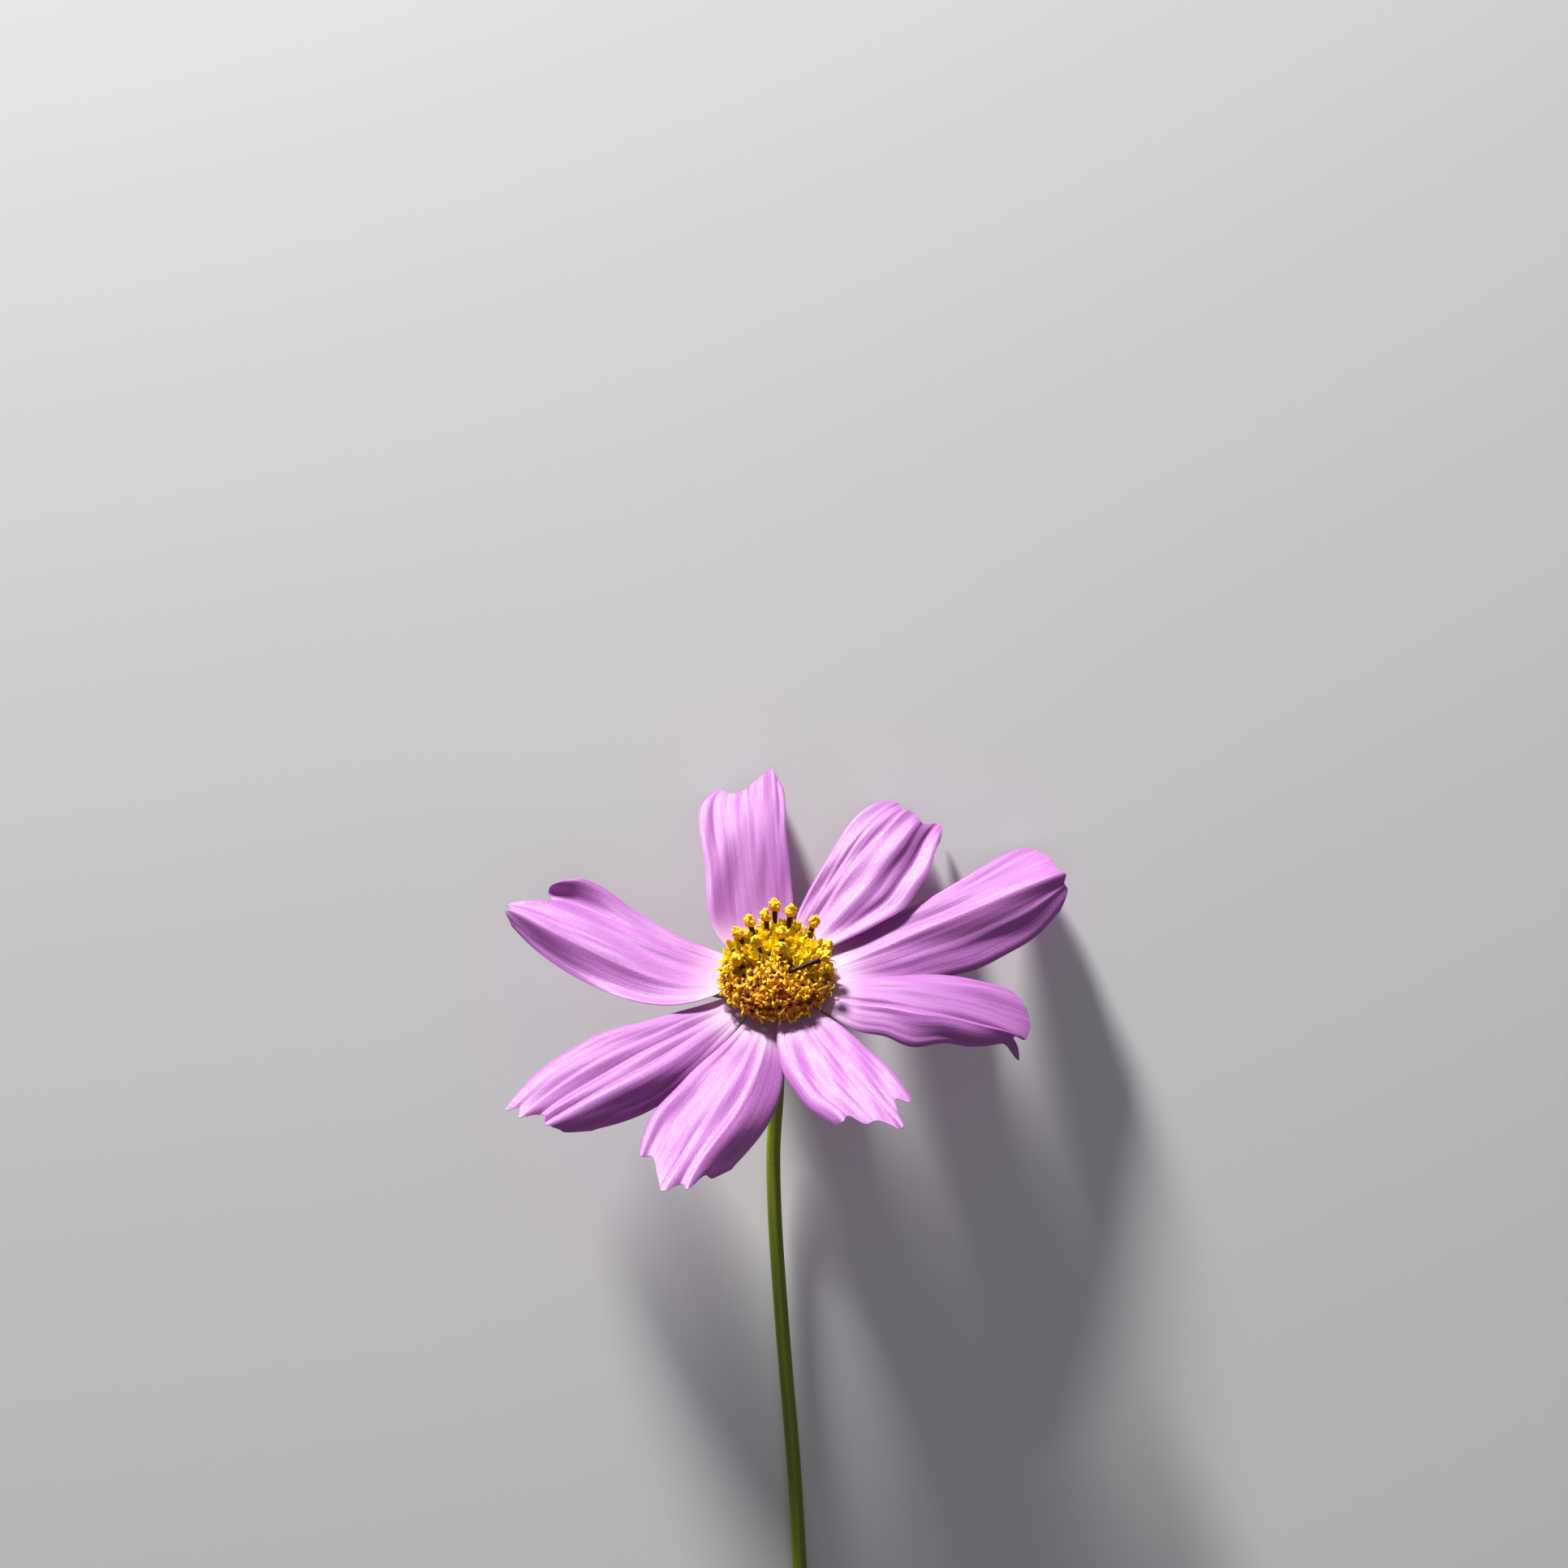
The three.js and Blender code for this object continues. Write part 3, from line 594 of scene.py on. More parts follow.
def set_coordinates(piece, points):
    piece.data.vertices.foreach_set("co", np.asarray(points, np.float32).ravel())
    piece.data.update()


def place_vertices(piece, points, place=HEAD_PLACE):
    """Puts the vertices at points in mm, given in the head's frame, and goes on to metres."""
    set_coordinates(piece, points)
    piece.data.transform(TO_METRES @ place)
    piece.data.update()


def apply_modifier(piece, kind, **settings):
    make_active(piece)
    modifier = piece.modifiers.new(kind.title(), kind)
    for key, value in settings.items():
        setattr(modifier, key, value)
    bpy.ops.object.modifier_apply(modifier=modifier.name)


def subdivide(piece):
    apply_modifier(piece, "SUBSURF", levels=1, render_levels=1)


def shade(piece, limit=60):
    """Smooths a piece's shading up to a limit in degrees, and returns the piece."""
    make_active(piece)
    bpy.ops.object.shade_smooth_by_angle(angle=math.radians(limit))
    return piece


def turn_outwards(piece, fill=False):
    """Fills a piece's holes where asked, merges doubles and turns all faces outwards."""
    make_active(piece)
    bpy.ops.object.mode_set(mode="EDIT")
    bpy.ops.mesh.select_all(action="SELECT")
    if fill:
        bpy.ops.mesh.fill_holes(sides=0)
        bpy.ops.mesh.select_all(action="SELECT")
    bpy.ops.mesh.remove_doubles(threshold=1e-7)
    bpy.ops.mesh.normals_make_consistent(inside=False)
    bpy.ops.object.mode_set(mode="OBJECT")


def join(pieces, name, skin):
    """One piece of many, all in one skin."""
    deselect_all()
    for piece in pieces:
        piece.select_set(True)
    bpy.context.view_layer.objects.active = pieces[0]
    bpy.ops.object.join()
    piece = added(name)
    piece.data.materials.clear()
    piece.data.materials.append(skin)
    return piece


def hand_over(piece, slot, *nodes):
    """Gives a finished piece its body and hides the nodes that it stands for. The slot is not
    used.
    """
    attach(piece, "root")
    if nodes:
        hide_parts(*nodes)


def paint_shade_tone(piece, low, high):
    """Marks a mesh with a tone from low at its foot to high at its top, for the materials: the low
    end is painted shade at the foot.
    """
    heights = coordinates(piece)[:, 2]
    span = (heights - heights.min()) / max(np.ptp(heights), 1e-6)
    tone = piece.data.attributes.new("tone", "FLOAT", "POINT")
    tone.data.foreach_set("value", (low + (high - low) * smooth(span)).astype(np.float32))


def copy_of(piece, place, low, high):
    """A copy of a model in mm with its own mesh, placed in the head's frame."""
    copy = bpy.data.objects.new(piece.name + "_copy", piece.data.copy())
    bpy.context.scene.collection.objects.link(copy)
    paint_shade_tone(copy, low, high)
    copy.data.transform(TO_METRES @ HEAD_PLACE @ place)
    return copy


def blade(name, across, along, surface, thickness, edge, skins, place=HEAD_PLACE):
    """A closed blade on surface(t, q), thinner towards its edges by the factor edge.
    Its face has the first skin and its back the last."""
    bpy.ops.mesh.primitive_grid_add(x_subdivisions=across, y_subdivisions=along, size=2)
    piece = added(name)
    flat = coordinates(piece)
    q = -flat[:, 0]
    t = (flat[:, 1] + 1) / 2
    thin = piece.vertex_groups.new(name="thin")
    margin = np.maximum(np.abs(q) ** 4, t ** 6)
    for index, weight in enumerate(1 - margin):
        thin.add([index], float(weight), "REPLACE")
    place_vertices(piece, surface(t, q), place)
    for skin in skins:
        piece.data.materials.append(skin)
    apply_modifier(
        piece, "SOLIDIFY", thickness=thickness, offset=0, use_even_offset=False,
        vertex_group="thin", thickness_vertex_group=edge, material_offset=1,
        material_offset_rim=0)
    return piece


def leaf(name, shape, azimuth, thickness, edge, place=HEAD_PLACE):
    """A bract, a scale or a lobe of a floret, as a closed blade."""
    return blade(
        name, *shape["grid"], lambda t, q: bract_points(shape, azimuth, t, q), thickness, edge,
        (), place)


def ring_tube(name, sides, rings):
    """Open tube on a circle, of rings with their height and radius. A third value is the
    radius of every second point."""
    bpy.ops.mesh.primitive_circle_add(vertices=sides, radius=1, fill_type="NOTHING")
    piece = added(name)
    bpy.ops.object.mode_set(mode="EDIT")
    bpy.ops.mesh.select_all(action="SELECT")
    for _ in rings[1:]:
        bpy.ops.mesh.extrude_region_move(TRANSFORM_OT_translate={"value": (0, 0, 1)})
    bpy.ops.object.mode_set(mode="OBJECT")
    points = coordinates(piece)
    level = np.rint(points[:, 2]).astype(int)
    angle = np.arctan2(points[:, 1], points[:, 0])
    odd = np.rint(angle / (2 * math.pi / sides)).astype(int) % 2 == 1
    for index, (height, radius, *notch) in enumerate(rings):
        here = level == index
        reach = np.where(odd[here], notch[0] if notch else radius, radius)
        points[here, 0] = np.cos(angle[here]) * reach
        points[here, 1] = np.sin(angle[here]) * reach
        points[here, 2] = height
    set_coordinates(piece, points)
    return piece


# Shader groups and materials.


def set_inputs(tree, made, values):
    """Sets a node's inputs to values, or links them to sockets."""
    for key, value in values.items():
        if isinstance(value, bpy.types.NodeSocket):
            tree.links.new(value, made.inputs[key])
        else:
            made.inputs[key].default_value = value


def add_node(tree, kind, values=None, **settings):
    """A node with its settings, its inputs set to values or linked to sockets."""
    made = tree.nodes.new(kind)
    for key, value in settings.items():
        setattr(made, key, value)
    set_inputs(tree, made, values or {})
    return made


def maths(tree, operation, *values):
    return add_node(
        tree, "ShaderNodeMath", dict(enumerate(values)), operation=operation).outputs[0]


def weighted(tree, *terms):
    """Sum of masks, each times its weight."""
    parts = [maths(tree, "MULTIPLY", mask, weight) for mask, weight in terms]
    total = parts[0]
    for part in parts[1:]:
        total = maths(tree, "ADD", total, part)
    return total


def mixed(tree, share, first, second):
    """Colour between two colours by share, 0 to 1."""
    made = add_node(tree, "ShaderNodeMix", {0: share}, data_type="RGBA")
    for place, value in ((6, first), (7, second)):
        linked = isinstance(value, bpy.types.NodeSocket)
        set_inputs(tree, made, {place: value if linked else (*value[:3], 1)})
    return made.outputs[2]


def ramp(tree, value, low, high, start=0.0, end=1.0):
    """Smooth step of a value from start to end as it goes from low to high."""
    return add_node(
        tree, "ShaderNodeMapRange", {0: value, 1: low, 2: high, 3: start, 4: end},
        interpolation_type="SMOOTHSTEP").outputs[0]


def new_group(name, **inputs):
    """An empty shader group that gives out a mask. An input without a value is a vector."""
    tree = bpy.data.node_groups.new(name, "ShaderNodeTree")
    for label, value in inputs.items():
        kind = "NodeSocketVector" if value is None else "NodeSocketFloat"
        made = tree.interface.new_socket(label.title(), in_out="INPUT", socket_type=kind)
        if value is not None:
            made.default_value = value
    tree.interface.new_socket("Mask", in_out="OUTPUT", socket_type="NodeSocketFloat")
    given = tree.nodes.new("NodeGroupInput").outputs
    return tree, given, tree.nodes.new("NodeGroupOutput")


def streak_group():
    """Long uneven streaks that run along a blade's own map, as veins and ribs do."""
    tree, given, result = new_group("long_streaks", map=None, lines=30.0, breaks=2.0, seed=0.0)
    split = add_node(tree, "ShaderNodeSeparateXYZ", {0: given["Map"]})
    across = maths(tree, "MULTIPLY", split.outputs[0], given["Lines"])
    along = maths(tree, "MULTIPLY", split.outputs[1], given["Breaks"])
    place = add_node(tree, "ShaderNodeCombineXYZ", {0: across, 1: along, 2: given["Seed"]})
    noise = add_node(tree, "ShaderNodeTexNoise", {
        "Vector": place.outputs[0], "Scale": 1.0, "Detail": 3.0, "Roughness": 0.55})
    set_inputs(tree, result, {"Mask": ramp(tree, noise.outputs[0], 0.3, 0.7)})


def grain_group():
    """Fine cells of a living surface, as a mask with small bright centres."""
    tree, given, result = new_group("surface_grain", place=None, cells=4000.0)
    cells = add_node(
        tree, "ShaderNodeTexVoronoi", {"Vector": given["Place"], "Scale": given["Cells"]})
    centres = ramp(tree, cells.outputs["Distance"], 0.0, 0.8, 1.0, 0.0)
    set_inputs(tree, result, {"Mask": centres})


def use_group(tree, name, **values):
    """Mask of a shader group with its inputs set or linked."""
    values = {key.title(): value for key, value in values.items()}
    group = bpy.data.node_groups[name]
    return add_node(tree, "ShaderNodeGroup", values, node_tree=group).outputs["Mask"]


def own_map(tree):
    return add_node(tree, "ShaderNodeUVMap", uv_map="UVMap").outputs[0]


def streaks(tree, lines, breaks, seed=0.0):
    """Mask of long streaks along a blade."""
    return use_group(
        tree, "long_streaks", map=own_map(tree), lines=lines, breaks=breaks, seed=seed)


def grains(tree, cells):
    """Mask of fine cells all over a piece."""
    place = add_node(tree, "ShaderNodeTexCoord").outputs["Object"]
    return use_group(tree, "surface_grain", place=place, cells=cells)


def new_material(name):
    """A material with its tree and its principled shader."""
    material = bpy.data.materials.new(name)
    material.use_nodes = True
    tree = material.node_tree
    return material, tree, tree.nodes["Principled BSDF"]


def bump(tree, height, strength, depth):
    """Normals for a height, with the bumps' depth in mm."""
    values = {"Height": height, "Strength": strength, "Distance": depth * MM}
    return add_node(tree, "ShaderNodeBump", values).outputs[0]


def glowing(tree, shader, tint, share, normal):
    """Mixes light that passes through the blade with the shader's own."""
    passing = add_node(tree, "ShaderNodeBsdfTranslucent", {"Color": tint, "Normal": normal})
    both = add_node(
        tree, "ShaderNodeMixShader", {0: share, 1: shader.outputs[0], 2: passing.outputs[0]})
    tree.links.new(both.outputs[0], tree.nodes["Material Output"].inputs["Surface"])


def petal_material(name, back):
    """Velvety petal skin: ribs and veins along the blade, a pale throat, and glinting cells with
    whitish painted highlights on them.
    """
    tints = colours()
    material, tree, shader = new_material(name)
    along = add_node(tree, "ShaderNodeSeparateXYZ", {0: own_map(tree)}).outputs[1]
    veins = streaks(tree, lines=46.0, breaks=2.2)
    ribs = streaks(tree, lines=15.0, breaks=1.3, seed=7.0)
    glints = streaks(tree, lines=110.0, breaks=290.0, seed=3.0)
    depth = weighted(tree, (veins, 0.45), (ribs, 0.4))
    skin = mixed(tree, depth, tints.petal_light, tints.petal_deep)
    throat = ramp(tree, along, 0.0, 0.24, 0.75, 0.0)
    skin = mixed(tree, throat, skin, tints.petal_throat_and_glint)
    # Whitish flecks over the cells, mixed into the colour: painted glints.
    painted_glints = weighted(tree, (maths(tree, "POWER", glints, 3.0), 0.55))
    skin = mixed(tree, painted_glints, skin, tints.petal_throat_and_glint)
    if back:
        paleness = 0.35
        skin = mixed(tree, paleness, skin, tints.petal_throat_and_glint)
    height = weighted(tree, (veins, 0.6), (grains(tree, 5200.0), 0.25), (glints, 0.6))
    normal = bump(tree, height, 0.4, 0.05)
    set_inputs(tree, shader, {
        "Base Color": skin, "Roughness": ramp(tree, glints, 0.2, 1.0, 0.5, 0.25),
        "Normal": normal, "Sheen Weight": 0.14, "Sheen Roughness": 0.4,
        "Specular IOR Level": 0.9, "Specular Tint": (1, 0.86, 1, 1)})
    passing = mixed(tree, throat, tints.petal_through, tints.petal_throat_and_glint)
    glowing(tree, shader, passing, 0.38, normal)
    return material


def disc_material(name, top, shaded_tint, roughness, glow):
    """Soft yellow parts of the disc with a fine grain, deeper where their tone is low: painted
    shade low down, and on the near half painted shade with the orange of older florets.
    """
    material, tree, shader = new_material(name)
    tone = add_node(tree, "ShaderNodeAttribute", attribute_name="tone").outputs["Fac"]
    grain = grains(tree, 4200.0)
    tint = mixed(tree, weighted(tree, (tone, 1.0), (grain, 0.25)), shaded_tint, top)
    normal = bump(tree, grain, 0.6, 0.06)
    set_inputs(tree, shader, {"Base Color": tint, "Normal": normal, "Roughness": roughness})
    if glow:
        glowing(tree, shader, tint, glow, normal)
    return material


def anther_material():
    """Dark satin skin with a fine grain."""
    material, tree, shader = new_material("anther_skin")
    grain = grains(tree, 6000.0)
    brown = colours().anther_brown
    set_inputs(tree, shader, {
        "Base Color": mixed(tree, grain, brown, tuple(c * 1.8 for c in brown)),
        "Normal": bump(tree, grain, 0.4, 0.04), "Roughness": 0.55,
        "Specular IOR Level": 0.25})
    return material


def green_material(name, tint, lines):
    """Green skin with fine lines along it and a mottled tone."""
    material, tree, shader = new_material(name)
    veins = streaks(tree, lines=lines, breaks=6.0)
    grain = grains(tree, 3600.0)
    dark = tuple(c * 0.55 for c in tint)
    light = tuple(min(c * 1.5, 1) for c in tint)
    skin = mixed(tree, weighted(tree, (veins, 0.7)), tint, dark)
    skin = mixed(tree, weighted(tree, (grain, 0.2)), skin, light)
    normal = bump(tree, weighted(tree, (veins, 1.0), (grain, 0.4)), 0.5, 0.04)
    set_inputs(tree, shader, {"Base Color": skin, "Normal": normal, "Roughness": 0.42})
    return material


# Pieces of the flower.


class COSMOS_OT_petals(bpy.types.Operator):
    """Makes the eight petals, each a thin ribbed blade"""

    bl_idname = "cosmos.petals"
    bl_label = "Petals"

    def execute(self, context):
        skins = (petal_material("petal_face", False), petal_material("petal_back", True))
        rib = sizes().petal_rib / MM
        for name, shape in PETALS.items():
            piece = blade(
                name.replace("petal", "petal_blade"), *PETAL_GRID,
                lambda t, q: petal_points(shape, t, q, rib),
                sizes().petal_thickness, PETAL_EDGE, skins)
            points = coordinates(piece)
            points[:, 2] = np.maximum(points[:, 2], 0)
            set_coordinates(piece, points)
            shade(piece)
            hand_over(piece, "petal", name)
        return {"FINISHED"}


def dome_height(radius):
    """Height of the disc's core at a distance from the head's axis."""
    rise = math.sqrt(max(0.0, 1 - (radius / DOME_RADIUS) ** 2))
    return CORE_RIM + (CORE_TOP - CORE_RIM) * rise


def around(radius, turn, height):
    return Vector((radius * math.cos(turn), radius * math.sin(turn), height))


def leaning(point, turn, lean, twist=0.0):
    """Place of a piece that stands on a point and leans towards a turn round +Z."""
    return (Matrix.Translation(point) @ Matrix.Rotation(turn, 4, "Z")
            @ Matrix.Rotation(lean, 4, "Y") @ Matrix.Rotation(twist, 4, "Z"))


def standing(radius, turn, height, lean, twist=0.0):
    """Place of a floret that leans outwards from the head's axis."""
    return leaning(around(radius, turn, height), turn, lean, twist)


def lobes(shape, turns, draw):
    """Blades in mm that stand round +Z, each a little unlike the next."""
    made = []
    for turn in turns:
        bent = draw.uniform(-LOBE_BEND, LOBE_BEND)
        rise = [min(value + bent, STEEPEST) for value in shape["rise"][:-1]]
        rise.append(shape["rise"][-1] + 2 * bent)
        own = {**shape, "rise": rise, "length": shape["length"] * draw.uniform(*LOBE_LENGTHS)}
        azimuth = turn + draw.uniform(-LOBE_TURN, LOBE_TURN)
        thickness = shape["skin"] * MM if "skin" in shape else sizes().floret_skin
        piece = leaf("lobe", own, azimuth, thickness, LOBE_EDGE, Matrix.Identity(4))
        piece.data.transform(Matrix.Scale(1 / MM, 4))
        made.append(piece)
    return made


def floret_model(shape, draw):
    """Open floret: a slim tube that ends in five pointed lobes."""
    mouth = sizes().floret_mouth / MM
    rings = FLORET_FOOT + [(h, mouth * r, mouth * notch) for h, r, notch in FLORET_MOUTH]
    tube = ring_tube("floret", TUBE_SIDES, rings)
    turn_outwards(tube, fill=True)
    return shade(join([tube, *lobes(shape, range(0, 360, 72), draw)], "floret", None))


def stigma_model(draw):
    """Two curled arms on one stalk."""
    return shade(join(lobes(STIGMA_ARM, (0, 180), draw), "stigma", None))


def scale_model(draw):
    """Pointed scale that stands between the florets."""
    return shade(lobes(SCALE, (0,), draw)[0])


def anther_model(radius):
    """Dark tube of joined anthers, wider at its top."""
    rings = [(h, radius * r, radius * notch) for h, r, notch in ANTHER_TUBE]
    piece = ring_tube("anther", TUBE_SIDES, rings)
    turn_outwards(piece, fill=True)
    subdivide(piece)
    return shade(piece)


def knob_lumps(draw):
    """Size, stretch, reach, turn, height and lean of a knob's lumps, each drawn anew."""
    body = (0.48, 1.5, 0, 0, 0.75, 0)
    lumps = [body]
    for count, reach, height, size, lean in KNOB_RINGS:
        for index in range(count):
            turn = 360 * (index + draw.uniform(-0.2, 0.2)) / count + 90 * height
            lumps.append((
                size * draw.uniform(0.75, 1.2), draw.uniform(1.1, 1.7),
                reach * draw.uniform(0.85, 1.15), turn, height + draw.uniform(-0.1, 0.1),
                lean + draw.uniform(-25, 25)))
    return lumps


def knob_model(radius, draw):
    """Ragged cap of pollen: a lumpy body, broad low down, with a blunt point on top."""
    made = []
    for size, stretch, reach, turn, height, lean in knob_lumps(draw):
        bpy.ops.mesh.primitive_ico_sphere_add(subdivisions=2, radius=size * radius)
        lump = added("lump")
        place = standing(
            reach * radius, math.radians(turn), height * radius, math.radians(lean))
        lump.data.transform(place @ Matrix.Diagonal((1, 1, stretch, 1)))
        made.append(lump)
    piece = join(made, "knob", None)
    apply_modifier(piece, "REMESH", mode="VOXEL", voxel_size=radius * KNOB_VOXEL)
    points = coordinates(piece)
    first, second = KNOB_WAVES
    coarse = np.sin(points @ first) * np.sin(points @ second)
    fine = np.sin(points[:, [1, 2, 0]] * KNOB_FINE_WAVE)
    set_coordinates(piece, points + KNOB_GRAIN * radius * coarse[:, None] * fine)
    return shade(piece)


def disc_places(draw, tall_feet):
    """Places of the short florets on the disc's spiral, clear of the tall ones, and all round
    its rim: distance, turn, change of lean, and if on the rim."""
    places = []
    for index in range(FLORET_COUNT):
        turn = index * SPIRAL
        squeeze = 1 - 0.07 * abs(math.cos(turn))
        radius = FLORET_REACH * math.sqrt((index + 0.5) / FLORET_COUNT) * squeeze
        x, y = radius * math.cos(turn), radius * math.sin(turn)
        if all(math.hypot(x - a, y - b) > FLORET_CLEARANCE for a, b in tall_feet):
            places.append((radius, turn, draw.uniform(-0.2, 0.2), False))
    for turn in RIM_TURNS:
        places.append((RIM_REACH, math.radians(turn + draw.uniform(-4, 4)), RIM_LEAN, True))
    return places


class COSMOS_OT_disc(bpy.types.Operator):
    """Makes the disc: core, open florets, stigmas, scales, anther tubes and pollen knobs"""

    bl_idname = "cosmos.disc"
    bl_label = "Disc"

    def execute(self, context):
        draw = random.Random(DISC_SEED)
        tints = colours()
        self.models = {
            "curled": [floret_model(CURLED_LOBE, draw) for _ in range(3)],
            "upright": [floret_model(UPRIGHT_LOBE, draw) for _ in range(3)],
            "stigma": [stigma_model(draw) for _ in range(2)],
            "scale": [scale_model(draw) for _ in range(2)],
            "anther": [anther_model(sizes().anther_radius / MM)],
            "knob": [knob_model(sizes().knob_radius / MM, draw) for _ in range(2)],
        }
        self.made = {kind: [] for kind in self.models}
        self.short_florets(draw, self.tall_florets(draw))
        self.scales(draw)
        for model in sum(self.models.values(), []):
            bpy.data.objects.remove(model)
        yellow = disc_material(
            "floret_skin", tints.floret_yellow, tints.floret_shade, 0.6, 0.25)
        pollen = disc_material(
            "pollen_grains", tints.pollen_yellow, tints.floret_shade, 0.75, 0.0)
        for kind, name, skin, slot in (
            ("curled", "disc_curled_florets", yellow, "floret"),
            ("upright", "disc_upright_florets", yellow, "floret"),
            ("stigma", "disc_stigmas", yellow, "floret"),
            ("scale", "disc_scales", yellow, "floret"),
            ("anther", "anther_tubes", anther_material(), "anther"),
            ("knob", "pollen_knobs", pollen, "pollen"),
        ):
            hand_over(join(self.made[kind], name, skin), slot)
        hand_over(self.core(yellow), "floret", "disc")
        return {"FINISHED"}

    def add(self, kind, draw, place, low, high):
        """Copies one of the models of a kind to a place, in tones from low at its foot to high at
        its top; a low tone is painted shade.
        """
        self.made[kind].append(copy_of(draw.choice(self.models[kind]), place, low, high))

    def tall_florets(self, draw):
        """Stands the tall florets up and returns where their feet are."""
        feet = []
        for turn, reach, height, kind in TALL_FLORETS:
            turn = math.radians(turn)
            twist = draw.uniform(0, 6)
            stretch, heading = 1, turn
            lean = TALL_LEAN * min(reach / TALL_REACH, 1.2)
            if kind == "long":
                stretch, heading, lean = LONG_STRETCH, turn + LONG_TURN, LONG_LEAN
            outward = around(math.sin(lean), heading, math.cos(lean))
            top = around(reach, turn, height) - outward * KNOB_HALF
            mouth = top - outward * ANTHER_TOP * stretch
            stand = leaning(mouth, heading, lean, twist)
            if kind != "long":
                raised = 0.5 if kind == "bud" else -1.5
                place = stand @ Matrix.Translation((0, 0, raised))
                self.add("upright", draw, place, UPRIGHT_SHADE_TONE, 1)
            if kind != "bud":
                self.add("anther", draw, stand @ Matrix.Diagonal((1, 1, stretch, 1)), 0, 1)
            if kind in ("knob", "long"):
                seat = top - outward * KNOB_SEAT
                place = leaning(seat, heading, min(lean, KNOB_LEAN), twist)
                # Knobs are painted deeper at their feet, as painted shade.
                self.add("knob", draw, place, 0.3, 1)
            feet.append((mouth - outward * TALL_FOOT).xy)
        return feet

    def short_florets(self, draw, feet):
        """Fills the dome: curled florets on its near side and rim, upright ones on the rest."""
        for radius, turn, jitter, rim in disc_places(draw, feet):
            outer = radius / FLORET_REACH
            far = math.sin(turn) * outer
            near = far < NEAR_SHARE or rim
            if near and not rim:
                jitter = draw.uniform(-0.4, 0.3)
            lean = math.radians(62 if near else 36) * outer ** LEAN_POWER + jitter
            twist = draw.uniform(0, 6)
            if near:
                raised = -0.7 if rim else draw.uniform(-0.5, 0.35)
                place = standing(radius, turn, dome_height(radius) + raised, lean, twist)
                # Curled florets are painted lighter from the near edge towards the middle, as
                # painted light, with a random tone of their own.
                painted_light_share = 0.3 * smooth((far + 0.8) / 0.7)
                self.add("curled", draw, place, 0, 0.02 + painted_light_share + 0.28 * draw.random())
                if draw.random() < DOT_CHANCE:
                    self.add("anther", draw, place @ DOT_PLACE, 0, 1)
                else:
                    self.add("stigma", draw, place, 0.2, 0.9)
            else:
                raised = draw.uniform(-0.5, 0.3) - 0.7 * (1 - outer)
                place = standing(radius, turn, dome_height(radius) + raised, lean, twist)
                self.add("upright", draw, place, UPRIGHT_SHADE_TONE, 0.95 + 0.05 * draw.random())

    def scales(self, draw):
        """Fills the gaps between the florets with pointed scales."""
        for index in range(SCALE_COUNT):
            radius = SCALE_REACH * math.sqrt((index + 0.5) / SCALE_COUNT)
            turn = index * SPIRAL + 1.3
            outer = radius / SCALE_REACH
            near = math.sin(turn) * outer < NEAR_SHARE
            if near and outer > 0.8:
                continue
            lean = math.radians(50 if near else 34) * outer ** LEAN_POWER
            lean += draw.uniform(-0.2, 0.2)
            raised = -0.9 if near else draw.uniform(-0.4, 0.4) - 0.6 * (1 - outer)
            twist = draw.uniform(-1.2, 1.2)
            place = standing(radius, turn, dome_height(radius) + raised, lean, twist)
            # Near scales are painted deeper, as painted shade.
            self.add("scale", draw, place, 0.3, 0.5 if near else 0.9 + 0.1 * draw.random())

    def core(self, skin):
        """Low dome that carries the florets."""
        rings = list(CORE_FOOT)
        for step in range(1, CORE_RINGS):
            radius = CORE_RIM_RADIUS * math.cos(step * math.pi / (2 * CORE_RINGS))
            rings.append((dome_height(radius), radius))
        piece = ring_tube("disc_core", 32, rings)
        turn_outwards(piece, fill=True)
        piece.data.transform(TO_METRES @ HEAD_PLACE)
        subdivide(piece)
        # The core under the florets takes the deepest tone, as painted shade.
        paint_shade_tone(piece, 0, 0.15)
        piece.data.materials.append(skin)
        return shade(piece)


def bract_ring(tube, shape, turns, name, skin):
    """Bracts at turns round the head's axis, in one piece with the tube that carries them."""
    tube.data.transform(TO_METRES @ HEAD_PLACE)
    thickness = sizes().bract_thickness
    made = [leaf("bract", shape, azimuth, thickness, BRACT_EDGE) for azimuth in turns]
    return shade(join([tube, *made], name, skin))


class COSMOS_OT_bracts(bpy.types.Operator):
    """Makes the ring of broad inner bracts, and the calyx with its narrow outer bracts"""

    bl_idname = "cosmos.bracts"
    bl_label = "Bracts"

    def execute(self, context):
        tints = colours()
        pale = green_material("bract_skin", tuple(tints.bract_green), 26.0)
        green = green_material("calyx_skin", tuple(tints.stem_green), 14.0)
        collar = ring_tube("collar", CALYX_SIDES, COLLAR)
        turn_outwards(collar)
        turns = [shape["azimuth"] for shape in PETALS.values()]
        inner = bract_ring(collar, BRACT_INNER, turns, "inner_bract_blades", pale)
        hand_over(inner, "bract", "inner_bracts")
        calyx = ring_tube("calyx", CALYX_SIDES, CALYX)
        turn_outwards(calyx, fill=True)
        outer = bract_ring(calyx, BRACT_OUTER, OUTER_TURNS, "calyx_bract_blades", green)
        hand_over(outer, "stem", "receptacle")
        return {"FINISHED"}


def knot_slope(before, knot, after, first, second):
    """Slope of a curve at a knot between two others, with the spans to them."""
    return (((knot - before) / first - (after - before) / (first + second))
            + (after - knot) / second)


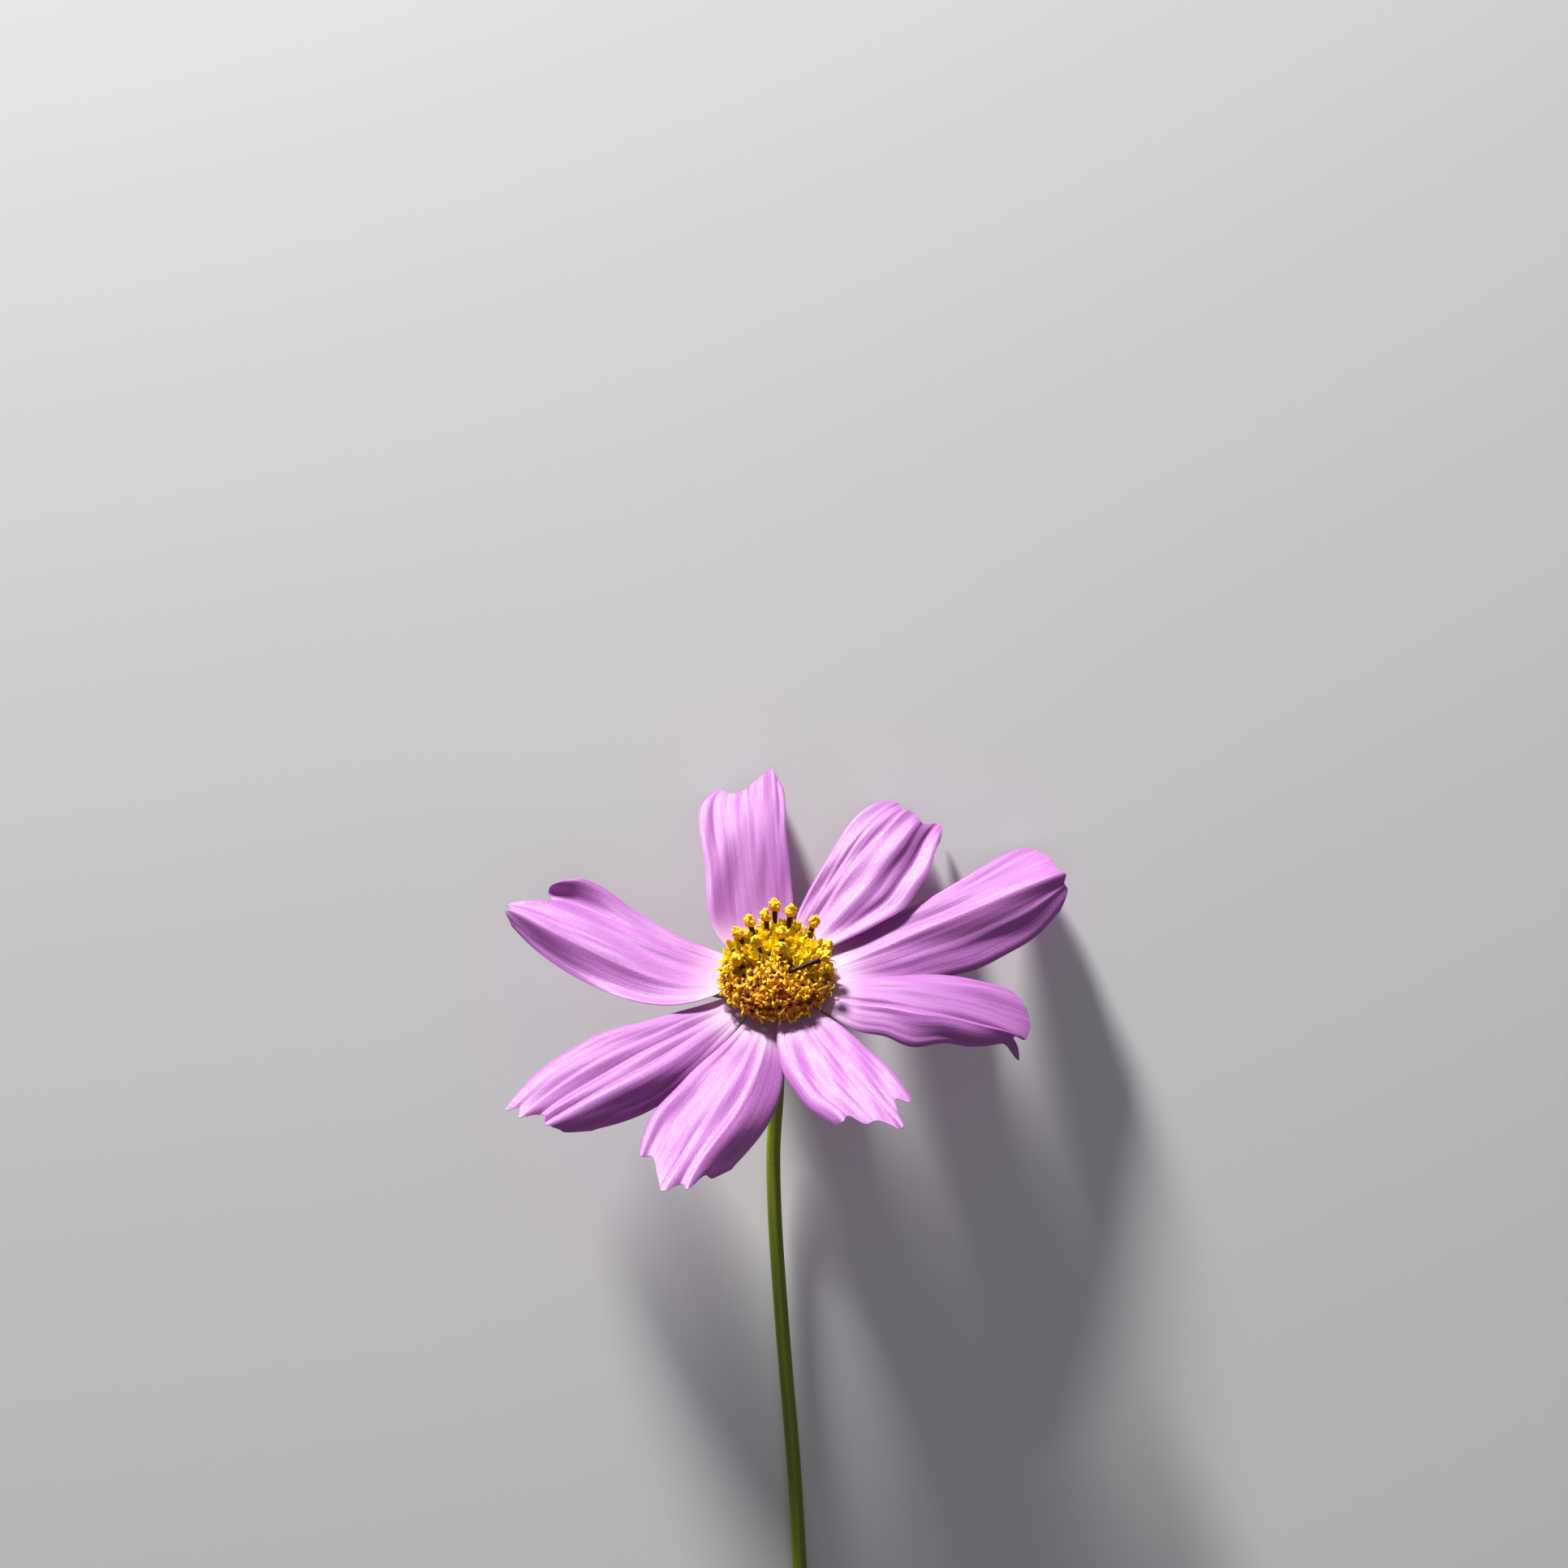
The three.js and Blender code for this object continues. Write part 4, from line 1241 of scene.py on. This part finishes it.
def stem_path():
    """Points of the stem's centre line in mm, measured from the head's centre."""
    axis = Vector((0, math.sin(HEAD_TILT), math.cos(HEAD_TILT)))
    knots = [axis * STEM_TOP, axis * (STEM_TOP - STEM_NECK)]
    knots += [Vector(point) for point in STEM_ROUTE]
    ends = [knots[0] * 2 - knots[1], *knots, knots[-1] * 2 - knots[-2]]
    spans = [(b - a).length ** 0.5 for a, b in zip(ends, ends[1:])]
    path = []
    for index in range(len(knots) - 1):
        before, start, end, after = ends[index:index + 4]
        first, span, last = spans[index:index + 3]
        leave = knot_slope(before, start, end, first, span) * span
        arrive = knot_slope(start, end, after, span, last) * span
        for step in range(STEM_STEPS):
            path.append(sloped(start, leave, end, arrive, step / STEM_STEPS))
    path.append(knots[-1])
    return path


class COSMOS_OT_stem(bpy.types.Operator):
    """Makes the stem, a grooved tube with a cut end"""

    bl_idname = "cosmos.stem"
    bl_label = "Stem"

    def execute(self, context):
        path = stem_path()
        last = len(path) - 1
        bpy.ops.mesh.primitive_grid_add(x_subdivisions=STEM_SIDES, y_subdivisions=last, size=2)
        piece = added("stem_tube")
        flat = coordinates(piece)
        turn = (flat[:, 0] + 1) * math.pi
        row = np.rint((flat[:, 1] + 1) / 2 * last).astype(int)
        from_groove = np.angle(np.exp(1j * turn))
        radius = sizes().stem_radius / MM
        radius = radius - STEM_GROOVE * bell(from_groove, 0, STEM_GROOVE_WIDTH)
        radius = radius + STEM_RIB * np.cos(STEM_RIBS * turn)
        points = np.empty_like(flat)
        for index, centre in enumerate(path):
            heading = (path[min(index + 1, last)] - path[max(index - 1, 0)]).normalized()
            side = heading.cross(Vector((0, 0, 1))).normalized()
            upward = side.cross(heading)
            here = row == index
            sideways = np.outer(np.cos(turn[here]) * radius[here], side)
            raised = np.outer(np.sin(turn[here]) * radius[here], upward)
            points[here] = np.array(centre) + sideways + raised
        place_vertices(piece, points, Matrix.Translation(HEAD))
        turn_outwards(piece)
        turn_outwards(piece, fill=True)
        shade(piece, 40)
        skin = green_material("stem_skin", tuple(colours().stem_green), 9.0)
        piece.data.materials.append(skin)
        hand_over(piece, "stem", "stem")
        return {"FINISHED"}


def area_light(name, place, size, energy, tint=(1, 1, 1)):
    """A round soft lamp that shines at the head, with its place and size in metres."""
    bpy.ops.object.light_add(type="AREA", location=place)
    lamp = bpy.context.active_object
    lamp.name = name
    lamp.data.shape = "DISK"
    lamp.data.size = size
    lamp.data.energy = energy
    lamp.data.color = tint
    heading = HEAD * MM - Vector(place)
    lamp.rotation_euler = heading.to_track_quat("-Z", "Y").to_euler()


class COSMOS_OT_stage(bpy.types.Operator):
    """Makes the pale floor, the soft light and the camera over the flower"""

    bl_idname = "cosmos.stage"
    bl_label = "Stage"

    def execute(self, context):
        bpy.ops.mesh.primitive_plane_add(size=3)
        floor = added("floor")
        material, tree, shader = new_material("pale_floor")
        tint = (0.8, 0.8, 0.82, 1)
        set_inputs(tree, shader, {"Base Color": tint, "Roughness": 0.9})
        floor.data.materials.append(material)
        world = bpy.data.worlds.new("soft_sky")
        world.use_nodes = True
        sky = world.node_tree.nodes["Background"]
        set_inputs(world.node_tree, sky, {"Color": (0.9, 0.93, 1, 1), "Strength": 0.13})
        context.scene.world = world
        area_light("key_light", (-0.24, 0.76, 0.13), 0.12, energy=17, tint=(1, 0.98, 0.95))
        area_light("fill_light", (0.1, -0.3, 0.8), 0.7, energy=0.5)
        self.camera(context)
        context.scene.view_settings.view_transform = "Standard"
        return {"FINISHED"}

    def camera(self, context):
        """Camera straight above, with the head where the photograph has it."""
        middle = PHOTO_PIXELS / 2
        place = HEAD + Vector((
            (middle - HEAD_PIXEL[0]) * PHOTO_MM_PER_PIXEL,
            (HEAD_PIXEL[1] - middle) * PHOTO_MM_PER_PIXEL, PHOTO_DISTANCE))
        bpy.ops.object.camera_add(location=place * MM, rotation=(0, 0, 0))
        camera = bpy.context.active_object
        camera.name = "photo_camera"
        camera.data.sensor_width = SENSOR_WIDTH
        camera.data.lens = SENSOR_WIDTH * PHOTO_DISTANCE / (PHOTO_PIXELS * PHOTO_MM_PER_PIXEL)
        camera.data.clip_start = 0.01
        context.scene.camera = camera


class COSMOS_PT_panel(bpy.types.Panel):
    """Sidebar panel that lists the flower's pieces, sizes and colours"""

    bl_idname = "COSMOS_PT_panel"
    bl_label = "Cosmos Flower"
    bl_space_type = "VIEW_3D"
    bl_region_type = "UI"
    bl_category = "Cosmos"

    def draw(self, context):
        for operator in OPERATORS:
            self.layout.operator(operator.bl_idname)
        for group in (context.scene.cosmos_sizes, context.scene.cosmos_colours):
            box = self.layout.box()
            for key in group.__annotations__:
                box.prop(group, key)


OPERATORS = (COSMOS_OT_petals, COSMOS_OT_disc, COSMOS_OT_bracts, COSMOS_OT_stem, COSMOS_OT_stage)
CLASSES = (CosmosSizes, CosmosColours, *OPERATORS, COSMOS_PT_panel)


def register():
    for made in CLASSES:
        bpy.utils.register_class(made)
    bpy.types.Scene.cosmos_sizes = bpy.props.PointerProperty(type=CosmosSizes)
    bpy.types.Scene.cosmos_colours = bpy.props.PointerProperty(type=CosmosColours)


def unregister():
    del bpy.types.Scene.cosmos_colours
    del bpy.types.Scene.cosmos_sizes
    for made in reversed(CLASSES):
        bpy.utils.unregister_class(made)


def main():
    register()
    streak_group()
    grain_group()
    bpy.ops.cosmos.petals()
    bpy.ops.cosmos.disc()
    bpy.ops.cosmos.bracts()
    bpy.ops.cosmos.stem()
    bpy.ops.cosmos.stage()


if __name__ == "__main__":
    main()
